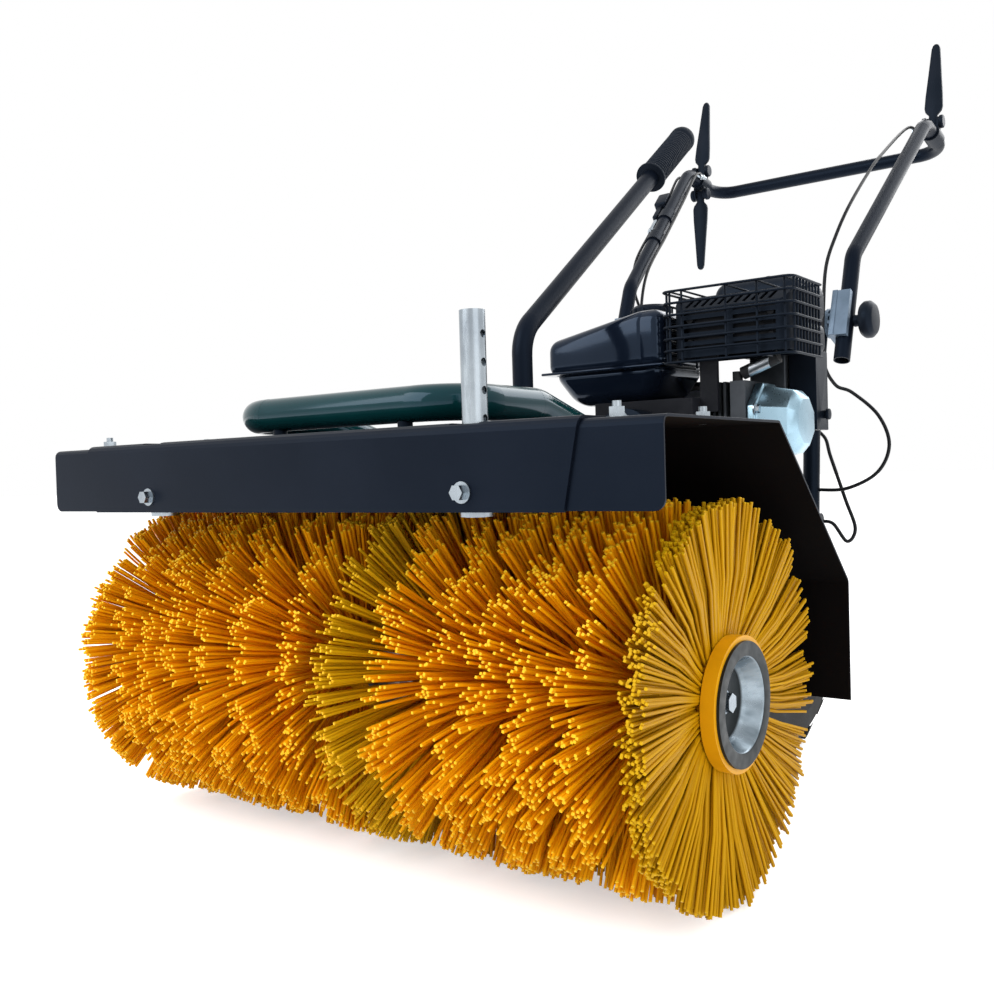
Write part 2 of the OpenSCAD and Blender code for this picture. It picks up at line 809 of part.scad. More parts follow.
function polar(x, r, a) = [x, r * cos(a), r * sin(a)];
function row_x(k) = row_start + (k + 0.5) * row_pitch;
function lean(k) =
    k == 0 ? -lean_in : k == bristle_rows - 1 ? lean_out : k == 1 ? -lean_in / 2 : 0;
function sway(k) = k % 2 == 0 ? 0 : cell / 3;
corner_signs = [[-1, -1], [1, -1], [1, 1], [-1, 1]];
function strand_end(x, r, a) = [
    for (s = corner_signs)
        [x + s[0] * bristle_half, r * cos(a) - s[1] * bristle_half * sin(a),
         r * sin(a) + s[1] * bristle_half * cos(a)]
];
function grid_at(k, j) = k * bristles_round + j % bristles_round;
grid_count = (bristle_rows + 1) * bristles_round;
function strand_at(k, j, c) = grid_count + 8 * (k * bristles_round + j) + c % 4;
strand_count = 8 * bristle_rows * bristles_round;
function inner_at(e, j) = grid_count + strand_count + e * bristles_round + j % bristles_round;
function halves(q) = [[q[0], q[1], q[2]], [q[0], q[2], q[3]]];

sleeve_points = [
    for (k = [0 : bristle_rows], j = [0 : bristles_round - 1])
        polar(row_start + k * row_pitch, sleeve_out, (j - 0.5) * cell)
];
strand_points = [
    for (k = [0 : bristle_rows - 1], j = [0 : bristles_round - 1]) each concat(
        strand_end(row_x(k), sleeve_out * cos(cell / 2), j * cell),
        strand_end(row_x(k) + lean(k), brush_r, j * cell + sway(k))
    )
];
inner_points = [
    for (x = [row_start, row_start + bristle_rows * row_pitch], j = [0 : bristles_round - 1])
        polar(x, sleeve_in, (j - 0.5) * cell)
];
strand_faces = [
    for (k = [0 : bristle_rows - 1], j = [0 : bristles_round - 1])
        let (corners = [grid_at(k, j), grid_at(k + 1, j), grid_at(k + 1, j + 1), grid_at(k, j + 1)])
        each concat(
            [for (c = [0 : 3]) each halves(
                [corners[c], corners[(c + 1) % 4], strand_at(k, j, c + 1), strand_at(k, j, c)])],
            [for (c = [0 : 3]) each halves(
                [strand_at(k, j, c), strand_at(k, j, c + 1),
                 strand_at(k, j, c + 1) + 4, strand_at(k, j, c) + 4])],
            halves([for (c = [0 : 3]) strand_at(k, j, c) + 4])
        )
];
sleeve_faces = [
    for (j = [0 : bristles_round - 1]) each concat(
        halves([grid_at(0, j), grid_at(0, j + 1), inner_at(0, j + 1), inner_at(0, j)]),
        halves([grid_at(bristle_rows, j + 1), grid_at(bristle_rows, j), inner_at(1, j), inner_at(1, j + 1)]),
        halves([inner_at(0, j), inner_at(0, j + 1), inner_at(1, j + 1), inner_at(1, j)])
    )
];

module bristle_half_brush() {
    translate([0, 0, axis_z])
        polyhedron(concat(sleeve_points, strand_points, inner_points), concat(strand_faces, sleeve_faces));
}

module right_bristles() {
    color(yellow) place() bristle_half_brush();
}

module left_bristles() {
    color(yellow) place() mirror([1, 0, 0]) bristle_half_brush();
}

module end_cups() {
    dish_r = cup_r - 15;
    floor_r = dish_r - 7;
    color(zinc) place() both_sides() translate([0, 0, axis_z]) rotate([0, 90, 0]) rotate_extrude() polygon([
        [5 + gap, cup_floor], [floor_r, cup_floor], [dish_r, brush_half - cup_t], [cup_r, brush_half - cup_t],
        [cup_r, brush_half], [dish_r - cup_t, brush_half], [floor_r - cup_t, cup_floor + cup_t],
        [5 + gap, cup_floor + cup_t]
    ]);
}

module end_bolts() {
    color(zinc) place() both_sides() translate([cup_floor + cup_t, 0, axis_z]) rotate([0, 90, 0]) {
        cylinder(h = 2.5, r = 12);
        translate([0, 0, 2.5]) hex_bolt(17, 7, 5, 26);
    }
}

// Chassis
belt_slot = [crank_x - small_pulley_r - 62, crank_x + small_pulley_r - 8];

module engine_deck() {
    color(black) place() translate([0, 0, deck_low]) linear_extrude(deck_t) difference() {
        union() {
            translate([-deck_half, deck_front]) square([2 * deck_half, deck_back - deck_front]);
            translate([-nose_r, swivel_y]) square([2 * nose_r, deck_front - swivel_y + 1]);
            translate([0, swivel_y]) circle(nose_r);
        }
        translate([0, swivel_y]) circle(king_r + run);
        translate([belt_slot[0], pulley_y - 13]) square([belt_slot[1] - belt_slot[0], 26]);
    }
}

module chassis_frame() {
    upright = [
        [upright_x, frame_back, frame_z], [upright_x, frame_back + 12, deck_z + 122],
        [upright_x, tilt_y, tilt_z]
    ];
    color(black) place() difference() {
        union() {
            both_sides() {
                difference() {
                    box([rail_x - rail_w, bulkhead_y, deck_low - rail_h], [rail_x, frame_back, deck_low]);
                    box([rail_x - rail_w + 3, bulkhead_y + 8, deck_low - rail_h - 1],
                        [rail_x - 3, frame_back - 3, deck_low - 3]);
                }
                bent_rod(upright, 60, frame_r, 0);
                rod_x([upright_x - boss_half, tilt_y, tilt_z], 2 * boss_half, 24);
            }
            box([-rail_x, bulkhead_y, nose_z], [rail_x, bulkhead_y + 8, deck_low]);
            box([-nose_r, swivel_y, nose_z], [nose_r, bulkhead_y + 1, plate_z]);
            rod_z([0, swivel_y, nose_z], plate_z - nose_z, nose_r);
            rod_x([-upright_x - frame_r - 4, frame_back, frame_z], 2 * (upright_x + frame_r + 4), frame_r);
        }
        rod_z([0, swivel_y, nose_z - 1], 20, king_r + run);
        both_sides() {
            bent_rod(upright, 60, frame_r - 2.5, frame_r + 5);
            rod_x([upright_x - boss_half - 1, tilt_y, tilt_z], 2 * boss_half + 2, tilt_r + gap);
        }
    }
}

case_h = 52;
case_w = 60;

module transmission_case() {
    tube_end = track_half - wheel_w / 2 - 12;
    color(plastic) place() difference() {
        union() {
            box([-case_w, wheelbase - case_h, axle_z - case_h], [case_w, wheelbase + case_h, deck_low]);
            rod_x([-tube_end, wheelbase, axle_z], 2 * tube_end, axle_r + 14);
        }
        box([8 - case_w, wheelbase - case_h + 8, axle_z - case_h + 8],
            [case_w - 8, wheelbase + case_h - 8, deck_low - 8]);
        rod_x([-tube_end - 1, wheelbase, axle_z], 2 * tube_end + 2, axle_r + run);
    }
}

rim_r = 102;
rim_half = wheel_w / 2 - 12;

// Wheel parts are drawn round Z at the middle of the wheel, then turned to X
module on_wheel(side) {
    place() translate([side * track_half, wheelbase, axle_z]) rotate([0, side * 90, 0]) children();
}

module hub() {
    rotate_extrude() polygon([
        [0, -rim_half], [32, -rim_half], [36, -2], [rim_r - 4, -2], [rim_r - 4, -rim_half - 3],
        [rim_r + 10, -rim_half - 3], [rim_r + 10, -rim_half], [rim_r, -rim_half], [rim_r, rim_half],
        [rim_r + 10, rim_half], [rim_r + 10, rim_half + 3], [rim_r - 4, rim_half + 3], [rim_r - 4, 12],
        [rim_r - 18, 4], [36, 8], [32, rim_half - 6], [0, rim_half - 6]
    ]);
    translate([0, 0, -track_half + 30]) cylinder(h = track_half, r = axle_r);
}

lug_count = 20;
lug_h = 12;
tread_r = wheel_r - lug_h;
tyre_half = wheel_w / 2;

module tread_bars(turn) {
    rotate(turn) for (i = [0 : lug_count - 1]) rotate(360 * i / lug_count)
        translate([rim_r, -7]) square([wheel_r - rim_r + 5, 14]);
}

module tyre() {
    bead = rim_r + 0.2;
    difference() {
        union() {
            rotate_extrude() polygon([
                [bead, -rim_half + 1], [rim_r + 12, -rim_half - 8], [wheel_r - 55, -tyre_half],
                [wheel_r - 28, -tyre_half + 2], [tread_r, -tyre_half + 16], [tread_r, tyre_half - 16],
                [wheel_r - 28, tyre_half - 2], [wheel_r - 55, tyre_half], [rim_r + 12, rim_half + 8],
                [bead, rim_half - 1]
            ]);
            intersection() {
                rotate_extrude() polygon([
                    [tread_r - 4, -tyre_half + 8], [wheel_r - 26, -tyre_half + 1], [wheel_r, -tyre_half + 14],
                    [wheel_r, tyre_half - 14], [wheel_r - 26, tyre_half - 1], [tread_r - 4, tyre_half - 8]
                ]);
                union() {
                    linear_extrude(tyre_half) tread_bars(0);
                    translate([0, 0, -tyre_half]) linear_extrude(tyre_half) tread_bars(180 / lug_count);
                }
            }
        }
        rotate_extrude() polygon([
            [rim_r - 1, 8 - rim_half], [rim_r + 14, -rim_half], [wheel_r - 50, 10 - tyre_half],
            [tread_r - 10, 22 - tyre_half], [tread_r - 10, tyre_half - 22], [wheel_r - 50, tyre_half - 10],
            [rim_r + 14, rim_half], [rim_r - 1, rim_half - 8]
        ]);
        difference() {
            cylinder(h = 2 * rim_half + 6 + 2 * gap, r = rim_r + 10 + gap, center = true);
            cylinder(h = 2 * rim_half, r = rim_r + 20, center = true);
        }
    }
}

module left_hub() { color(zinc) on_wheel(-1) hub(); }
module right_hub() { color(zinc) on_wheel(1) hub(); }
module left_tyre() { color(rubber) on_wheel(-1) tyre(); }
module right_tyre() { color(rubber) on_wheel(1) tyre(); }

// Engine
module crankcase() {
    color(alloy) place() difference() {
        union() {
            box([block_left, engine_y, engine_z + 8], [block_low, block_back, block_top]);
            box([block_low - 1, engine_y, shoulder_z], [block_right, block_back, block_top]);
            box([block_left - 15, engine_y + 8, deck_z], [block_low, block_back - 8, engine_z + 10]);
        }
        rod_y([crank_x, engine_y - 1, crank_z], block_d + 2, crank_r + run);
        rod_y([crank_x, engine_y + 40, crank_z], 80, 52);
    }
}

module crankshaft() {
    color(zinc) place() {
        rod_y([crank_x, pulley_y - pulley_w / 2 - 2, crank_z],
            block_back + 45 - pulley_y + pulley_w / 2, crank_r);
        rod_y([crank_x, engine_y + 55, crank_z], 50, 45);
    }
}

module flywheel() {
    color(alloy) place() difference() {
        union() {
            rod_y([crank_x, block_back + 12, crank_z], 20, recoil_r - 12);
            rod_y([crank_x, block_back + 6, crank_z], 34, 2 * crank_r);
        }
        rod_y([crank_x, block_back, crank_z], 60, crank_r + seat);
    }
}

module crank_pulley() {
    color(zinc) place() translate([crank_x, pulley_y, crank_z]) pulley(small_pulley_r, crank_r + seat);
}

fin_count = 4;
fin_pitch = 8;

module cylinder_barrel() {
    rod_x([block_right, bore_y, bore_z], head_x - block_right, 48);
    for (i = [0 : fin_count - 1])
        box([block_right + 4 + i * fin_pitch, bore_y - fin_half, bore_z - fin_half],
            [block_right + 7.5 + i * fin_pitch, bore_y + fin_half, bore_z + fin_half]);
    box([head_x - 22, bore_y - fin_half, bore_z - fin_half], [head_x, bore_y + fin_half, bore_z + fin_half]);
}

module cylinder_node() {
    color(alloy) place() cylinder_barrel();
}

module valve_cover() {
    r = fin_half - 2;
    color(alloy) place() translate([head_x, bore_y, bore_z]) rotate([0, 90, 0]) rotate(22.5) {
        cylinder(h = 12, r = r + 4, $fn = 8);
        translate([0, 0, 12]) cylinder(h = 40, r1 = r, r2 = r - 9, $fn = 8);
        translate([0, 0, 52]) cylinder(h = 12, r1 = r - 9, r2 = r - 22, $fn = 8);
    }
}

plug_foot = [block_right + 42, bore_y - 40, bore_z + fin_half];

module spark_plug() {
    tip = plug_foot + [60, 0, 30];
    color(plastic) place() {
        rod(plug_foot + [8, 0, 11], tip, 9);
        rod_z(plug_foot, 14, 7);
    }
}

module muffler() {
    low = engine_z + silencer_rise;
    strap_x = block_right;
    pipe = [shield_x + shield_w - 12, shield_y + shield_d / 2, low + 40];
    color(black) place() {
        difference() {
            union() {
                translate([shield_x + 8, shield_y + 8, low]) linear_extrude(shield_h - 26)
                    round_rect(shield_w - 16, shield_d - 16, 14);
                rod_x(pipe, 16, 13);
            }
            translate([shield_x + 11, shield_y + 11, low + 3]) linear_extrude(shield_h - 32)
                round_rect(shield_w - 22, shield_d - 22, 11);
            rod_x(pipe, 17, 10);
        }
        for (x = [24, shield_w - 24], z = [10, shield_h - 42])
            rod_y([shield_x + x, shield_y + shield_t, low + z], 8, 5);
        box([strap_x, bore_y - 72, block_top - 20], [strap_x + 26, bore_y - 66, low + 1]);
    }
}

slot_cols = [16, 88];
slot_rows = 5;
shield_slope = 18;

module shield_form(inset) {
    difference() {
        translate([inset, inset, 0]) linear_extrude(shield_h - inset)
            round_rect(shield_w - 2 * inset, shield_d - 2 * inset, 12 - inset);
        translate([-1, 0, shield_h - shield_slope - inset * sqrt(2)]) rotate([45, 0, 0])
            translate([0, -60, 0]) cube([shield_w + 2, 160, 60]);
    }
}

module heat_shield() {
    color(plastic) place() translate([shield_x, shield_y, shield_z]) difference() {
        shield_form(0);
        shield_form(shield_t);
        translate([shield_t, shield_t, -1]) linear_extrude(2)
            round_rect(shield_w - 2 * shield_t, shield_d - 2 * shield_t, 12 - shield_t);
        for (x = slot_cols, i = [0 : slot_rows - 1])
            box([x, -1, 10 + 12 * i], [x + 60, shield_t + 1, 16 + 12 * i]);
        translate([0, 0, shield_h - shield_slope]) rotate([45, 0, 0]) for (i = [0 : 10])
            translate([16 + 12 * i, 5, -shield_t - 1]) rotate(-25) cube([5, shield_slope - 2, shield_t + 2]);
        rod_x([shield_w - shield_t - 1, shield_d / 2, 50], shield_t + 2, 18);
    }
}

cage_rows = 6;
cage_bars = 8;

module muffler_cage() {
    x = [shield_x - cage_gap, shield_x + shield_w + cage_gap];
    y = [shield_y - cage_gap, shield_y + shield_d + cage_gap - wire];
    z = [shield_z - 8, shield_z + shield_h + 10];
    step = (z[1] - z[0] - wire) / (cage_rows - 1);
    pitch = (y[1] - y[0]) / (cage_bars - 1);
    color(black) place() {
        for (i = [0 : cage_rows - 1]) {
            h = z[0] + i * step;
            box([x[0], y[0], h], [x[1], y[0] + wire, h + wire]);
            box([x[1] - wire, y[0], h], [x[1], y[1] + wire, h + wire]);
            box([x[0], y[0], h], [x[0] + wire, y[1] + wire, h + wire]);
        }
        for (px = [x[0], x[0] + 24, shield_x + shield_w * 0.66, x[1] - wire])
            box([px, y[0], z[0]], [px + wire, y[0] + wire, z[1]]);
        for (i = [0 : cage_bars - 1])
            box([x[1] - wire, y[0] + i * pitch, z[0]], [x[1], y[0] + i * pitch + wire, z[1]]);
        for (py = [y[0], y[1]]) {
            box([x[0], py, z[1] - wire], [x[1], py + wire, z[1]]);
            box([x[0], py, z[0]], [x[0] + wire, py + wire, z[1]]);
        }
        box([shield_x + 10, y[0], z[0]], [shield_x + 20, shield_y + 12, z[0] + 2]);
        box([shield_x + shield_w - 20, y[0], z[0]], [shield_x + shield_w - 10, shield_y + 12, z[0] + 2]);
        for (px = [shield_x + 10, shield_x + shield_w - 20])
            box([px, shield_y + 4, z[0]], [px + 10, shield_y + 12, engine_z + silencer_rise]);
    }
}

seam_z = tank_z + 50;

module tank_corners(inset, r, z, h) {
    for (x = [inset + r, tank_w - inset - r], y = [inset + r, tank_d - inset - r])
        translate([x, y, z]) cylinder(h = h, r = r, $fn = 32);
}

module fuel_tank() {
    dome = 24;
    color(black) place() {
        translate([tank_x, tank_y, 0]) {
            hull() {
                tank_corners(22, 16, tank_z, 4);
                tank_corners(2, 26, tank_z + 30, seam_z - tank_z - 30);
            }
            hull() {
                tank_corners(2, 26, seam_z, 30);
                for (y = [2 + dome, tank_d - 2 - dome], x = [2 + dome, tank_w - 2 - dome])
                    translate([x, y, tank_z + tank_h - dome - (x < tank_w / 2 ? 34 : 0)])
                        sphere(dome, $fn = 32);
            }
            hull() tank_corners(-4, 30, seam_z - 2, 4);
        }
        rod_z([cap_x, cap_y, seam_z], cap_z - gap - seam_z, cap_r - 8);
    }
}

module fuel_cap() {
    color(plastic) place() translate([cap_x, cap_y, cap_z]) {
        cylinder(h = 10, r = cap_r);
        translate([0, 0, 10]) cylinder(h = 4, r1 = cap_r, r2 = cap_r - 4);
        for (i = [0 : 11]) rotate(30 * i) translate([cap_r - 2, -3, 0]) cube([4, 6, 9]);
    }
}

cleaner_size = [128, 132, 106];

module air_cleaner() {
    r = 22;
    color(plastic) place() translate([cleaner_x, cleaner_y, cleaner_z]) {
        hull() for (x = [r, cleaner_size[0] - r], y = [r, cleaner_size[1] - r]) {
            translate([x, y, 0]) cylinder(h = 40, r = r, $fn = 32);
            translate([x, y, cleaner_size[2] - r]) sphere(r, $fn = 32);
        }
        translate([cleaner_size[0] / 2, cleaner_size[1] / 2, cleaner_size[2] - 2]) cylinder(h = 12, r = 9);
    }
}

module carburettor() {
    x = block_right + 18;
    y = bore_y + fin_half;
    color(alloy) place() {
        box([x, y, bore_z], [x + 55, y + 48, cleaner_z]);
        rod_z([x + 28, y + 24, bore_z - 34], 35, 20);
    }
}

module control_housing() {
    x = head_x + 16;
    y = bore_y + fin_half + 6;
    color(plastic) place() {
        box([x, y, bore_z - 10], [x + 40, y + 48, cleaner_z]);
        rod_x([x + 39, y + 20, bore_z + 12], 8, 6);
        rod_x([x + 47, y + 20, bore_z + 12], 5, 8);
    }
}

module recoil_housing() {
    color(plastic) place() difference() {
        union() {
            rod_y([crank_x, block_back, crank_z], recoil_d, recoil_r);
            rod_y([crank_x - 60, block_back + recoil_d - 10, crank_z + 60], 18, 14);
        }
        rod_y([crank_x, block_back - 1, crank_z], recoil_d - 4, recoil_r - 5);
        for (i = [0 : 9]) rotate_about(crank_x, crank_z, 36 * i)
            box([-4, block_back + recoil_d - 20, 34], [4, block_back + recoil_d + 1, 72]);
        rod_y([crank_x - 60, block_back + recoil_d - 20, crank_z + 60], 40, 3);
    }
}

// Turns the children about an axis along Y
module rotate_about(x, z, a) {
    translate([x, 0, z]) rotate([0, a, 0]) children();
}

module recoil_handle() {
    y = block_back + recoil_d + 8 + gap;
    color(rubber) place() translate([crank_x - 60, y, crank_z + 60]) {
        rod_x([-36, 10, 0], 72, 10);
        rod_y([0, 0, 0], 10, 8);
    }
}

belt_top = [crank_x, crank_z];
belt_low = [0, input_z];
belt_floor = belt_t + 2 - gap;

module drive_belt() {
    small = small_pulley_r - belt_floor;
    large = large_pulley_r - belt_floor;
    y = pulley_y - belt_w / 2;
    color(rubber) place() difference() {
        belt_block(belt_top, small + belt_t, belt_low, large + belt_t, y, belt_w);
        belt_block(belt_top, small, belt_low, large, y - 1, belt_w + 2);
    }
}

module belt_guard() {
    room = 10;
    wall = 3;
    color(black) place() intersection() {
        difference() {
            belt_block(belt_top, small_pulley_r + room + wall, belt_low, large_pulley_r + room + wall,
                pulley_y - 18, engine_y - pulley_y + 18);
            belt_block(belt_top, small_pulley_r + room, belt_low, large_pulley_r + room,
                pulley_y - 18 + wall, engine_y);
        }
        box([-400, 0, deck_z], [400, wheelbase, crank_z + 200]);
    }
}

// Handlebar
module tilt_rosettes() {
    color(alloy) place() both_sides() translate([upright_x + boss_half, tilt_y, tilt_z]) rotate([0, 90, 0])
        difference() {
            union() {
                cylinder(h = 6, r = 26);
                for (i = [0 : 11]) rotate(30 * i) translate([16, -2.5, 5]) cube([10, 5, 4]);
            }
            translate([0, 0, -1]) cylinder(h = 12, r = tilt_r + gap);
        }
}

module handlebar() {
    color(black) place() difference() {
        bent_tube([
            mirrored(bar_end), mirrored(bar_bend), mirrored(rail_start), mirrored(rail_end),
            rail_end, rail_start, bar_bend, bar_end
        ], 50, bar_r, bar_wall);
        both_sides() rod_x([bar_low - 20, tilt_y, tilt_z], 40, stud_r + run);
    }
}

// Clamp plates: pale castings between the arms and the toothed discs, with the pins of the tilt
module tilt_plates() {
    pin_end = upright_x - boss_half - 5;
    color("#aab0b6") place() both_sides() difference() {
        union() {
            frame_at([0, tilt_y, tilt_z], [1, 0, 0], cross(arm_dir, [1, 0, 0]), arm_dir) {
                box([clamp_in, -24, -34], [bar_low - bar_r + 2, 24, 52]);
                box([bar_low - bar_r, -22, -34], [bar_low + bar_r - 4, -8, 52]);
            }
            rod_x([pin_end, tilt_y, tilt_z], clamp_in + 1 - pin_end, tilt_r);
        }
        rod(bar_end - 10 * arm_dir, bar_bend, bar_r + seat);
        rod_x([clamp_in + stud_floor, tilt_y, tilt_z], 60, stud_r + run);
    }
}

module knob(side) {
    x = knob_x;
    stud_end = clamp_in + stud_floor + gap;
    color(plastic) place() translate([0, tilt_y, tilt_z]) rotate([0, side * 90, 0]) {
        rotate_extrude() polygon([
            [0, stud_end], [stud_r, stud_end], [stud_r, x], [11, x], [9, x + 12], [knob_r - 6, x + 13],
            [knob_r, x + 20], [knob_r, x + 30], [knob_r - 7, x + 37], [0, x + 38]
        ]);
    }
}

module left_knob() { knob(-1); }
module right_knob() { knob(1); }

// Frame of one hand rail at its lever bracket: Y along the rail, Z away from it
module on_rail(side) {
    place() translate([side * lever_at[0], lever_at[1], lever_at[2]]) rotate([-rail_fall, 0, 0]) children();
}

bracket_half = 22;
ear_in = lever_half + gap;
ear_t = 4;

module lever_ears() {
    difference() {
        both_sides() union() {
            box([ear_in, -11, bar_r - 4], [ear_in + ear_t, 11, pin_rise]);
            rod_x([ear_in, 0, pin_rise], ear_t, 11);
        }
        rod_y([0, -60, 0], 120, bar_r + seat);
    }
    rod_x([-ear_in - ear_t - 2, 0, pin_rise], 2 * (ear_in + ear_t + 2), pin_r);
}

module bracket_sleeve() {
    difference() {
        rod_y([0, -bracket_half, 0], 2 * bracket_half, bar_r + 4);
        rod_y([0, -bracket_half - 1, 0], 2 * bracket_half + 2, bar_r + seat);
    }
}

module lever_brackets() {
    color(plastic) {
        for (side = [-1, 1]) on_rail(side) {
            bracket_sleeve();
            lever_ears();
        }
        on_rail(-1) mirror([0, 0, 1]) lever_ears();
    }
}

// Control lever: a hub on the pin and a long blade that tapers to its tip
lever_tip = 9;

module lever() {
    wide = 23;
    neck = 16;
    translate([0, 0, pin_rise]) rotate([-5, 0, 0]) difference() {
        union() {
            rod_x([-lever_half, 0, 0], 2 * lever_half, 8);
            translate([0, 4, 0]) rotate([90, 0, 0]) linear_extrude(8) {
                polygon([
                    [-lever_half, 0], [lever_half, 0], [lever_half, neck], [wide, neck + 12],
                    [lever_tip, lever_len - lever_tip], [-lever_tip, lever_len - lever_tip],
                    [-wide, neck + 12], [-lever_half, neck]
                ]);
                translate([0, lever_len - lever_tip]) circle(lever_tip);
            }
        }
        rod_x([-lever_half - 1, 0, 0], 2 * lever_half + 2, pin_r + run);
    }
}

module right_lever() { color(plastic) on_rail(1) lever(); }
module left_lever() { color(plastic) on_rail(-1) lever(); }
module lock_lever() { color(plastic) on_rail(-1) mirror([0, 0, 1]) lever(); }

// Cables: a round tube swept through the points of a route
cable_sides = 8;
cable_steps = 2;
function spline(a, b, c, d, t) =
    0.5 * (2 * b + t * (c - a) + t * t * (2 * a - 5 * b + 4 * c - d) + t * t * t * (3 * (b - c) + d - a));
function smooth(p) = [
    for (i = [0 : len(p) - 2], s = [0 : cable_steps - 1])
        spline(p[max(i - 1, 0)], p[i], p[i + 1], p[min(i + 2, len(p) - 1)], s / cable_steps),
    p[len(p) - 1]
];
function way(p, i) = unit(p[min(i + 1, len(p) - 1)] - p[max(i - 1, 0)]);
function next_side(s, d) = unit(s - d * (s * d));
function sides_along(p, i = 0, s = undef) =
    let (n = i == 0 ? side_axis(way(p, 0)) : next_side(s, way(p, i)))
    i == len(p) - 1 ? [n] : concat([n], sides_along(p, i + 1, n));

module cable(route) {
    p = smooth(route);
    s = sides_along(p);
    n = len(p);
    points = [
        for (i = [0 : n - 1], j = [0 : cable_sides - 1])
            let (a = 360 * j / cable_sides, b = cross(way(p, i), s[i]))
            p[i] + cable_r * (s[i] * cos(a) + b * sin(a))
    ];
    walls = [
        for (i = [0 : n - 2], j = [0 : cable_sides - 1])
            let (k = i * cable_sides, m = (j + 1) % cable_sides)
            each halves([k + j, k + cable_sides + j, k + cable_sides + m, k + m])
    ];
    caps = [
        [for (j = [0 : cable_sides - 1]) j],
        [for (j = [cable_sides - 1 : -1 : 0]) (n - 1) * cable_sides + j]
    ];
    polyhedron(points, concat(walls, caps));
}

module right_cable() { color(rubber) place() cable(right_route); }
module left_cable() { color(rubber) place() cable(left_route); }
module lock_cable() { color(rubber) place() cable(lock_route); }

hood();
front_plate();
hood_bolts();
post_sockets();
carrier_hoop();
hoop_bolts();
gearbox_left();
gearbox_right();
gearbox_beam();
swivel_yoke();
tiller_tube();
tiller_grip();
support_post();
input_shaft();
input_pulley();
brush_shaft();
worm_wheel();
bristle_carriers();
left_bristles();
right_bristles();
end_cups();
end_bolts();
engine_deck();
chassis_frame();
transmission_case();
left_hub();
left_tyre();
right_hub();
right_tyre();
crankcase();
cylinder_node();  // cylinder
valve_cover();
spark_plug();
muffler();
heat_shield();
muffler_cage();
fuel_tank();
fuel_cap();
air_cleaner();
carburettor();
control_housing();
recoil_housing();
recoil_handle();
crankshaft();
flywheel();
crank_pulley();
drive_belt();
belt_guard();
tilt_rosettes();
handlebar();
tilt_plates();
left_knob();
right_knob();
lever_brackets();
right_lever();
left_lever();
lock_lever();
right_cable();
left_cable();
lock_cable();
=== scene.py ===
"""Looks of a walk-behind power brush sweeper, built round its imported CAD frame."""

import json
import math

import bmesh
import bpy
from mathutils import Matrix, Vector


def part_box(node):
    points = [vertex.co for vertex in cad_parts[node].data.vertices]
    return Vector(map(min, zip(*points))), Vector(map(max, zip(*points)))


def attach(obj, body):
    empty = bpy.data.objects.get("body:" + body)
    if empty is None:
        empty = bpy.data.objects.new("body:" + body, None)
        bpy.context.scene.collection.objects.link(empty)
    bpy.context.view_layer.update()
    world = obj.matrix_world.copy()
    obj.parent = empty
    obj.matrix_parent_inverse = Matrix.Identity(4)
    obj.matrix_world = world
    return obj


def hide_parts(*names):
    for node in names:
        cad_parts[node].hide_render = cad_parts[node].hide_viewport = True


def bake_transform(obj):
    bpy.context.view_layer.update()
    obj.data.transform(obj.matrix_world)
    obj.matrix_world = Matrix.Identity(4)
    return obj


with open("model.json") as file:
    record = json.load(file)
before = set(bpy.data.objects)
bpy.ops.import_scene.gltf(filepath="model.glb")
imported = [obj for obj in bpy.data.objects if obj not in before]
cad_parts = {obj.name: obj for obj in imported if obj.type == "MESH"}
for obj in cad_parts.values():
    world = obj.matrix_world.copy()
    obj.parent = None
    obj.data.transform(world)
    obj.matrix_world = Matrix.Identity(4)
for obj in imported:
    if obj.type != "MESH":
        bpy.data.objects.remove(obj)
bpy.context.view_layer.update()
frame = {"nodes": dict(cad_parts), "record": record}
record = frame["record"]
body_of_node = {n: b for b, nodes in record["behaviour"]["bodies"].items() for n in nodes}

cups_low, cups_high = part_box("end_cups")
BRUSH_Y = (cups_low[1] + cups_high[1]) / 2
BRUSH_Z = (cups_low[2] + cups_high[2]) / 2
CUP_MOUTH_R = 0.0461
CUP_FLOOR_R = 0.0361


def at(x, y, z):
    """A point in metres from millimetres, with Y counted from the brush axis."""
    return Vector((x / 1000, y / 1000 + BRUSH_Y, z / 1000))


# Fields: sockets that take part in sums and products


class Field:
    def __init__(self, tree, socket):
        self.tree = tree
        self.socket = socket

    def math(self, operation, a, b=0.0):
        node = self.tree.nodes.new("ShaderNodeMath")
        node.operation = operation
        for socket, value in zip(node.inputs, (a, b)):
            feed(self.tree, socket, value)
        return Field(self.tree, node.outputs[0])

    def __add__(self, other):
        return self.math("ADD", self, other)

    def __radd__(self, other):
        return self.math("ADD", other, self)

    def __sub__(self, other):
        return self.math("SUBTRACT", self, other)

    def __rsub__(self, other):
        return self.math("SUBTRACT", other, self)

    def __mul__(self, other):
        return self.math("MULTIPLY", self, other)

    def __rmul__(self, other):
        return self.math("MULTIPLY", other, self)

    def __truediv__(self, other):
        return self.math("DIVIDE", self, other)

    def __rtruediv__(self, other):
        return self.math("DIVIDE", other, self)

    def __gt__(self, other):
        return self.math("GREATER_THAN", self, other)

    def __lt__(self, other):
        return self.math("LESS_THAN", self, other)

    def call(self, operation, other=0.0):
        return self.math(operation, self, other)


def feed(tree, socket, value):
    if isinstance(value, Field):
        tree.links.new(value.socket, socket)
    else:
        socket.default_value = value


def put(tree, kind, settings=None, inputs=None, out=0):
    """Adds a node, sets its settings and then its sockets, and gives one of its outputs."""
    node = tree.nodes.new(kind)
    for key, value in (settings or {}).items():
        setattr(node, key, value)
    for key, value in (inputs or {}).items():
        feed(tree, node.inputs[key], value)
    return Field(tree, node.outputs[out])


# Materials


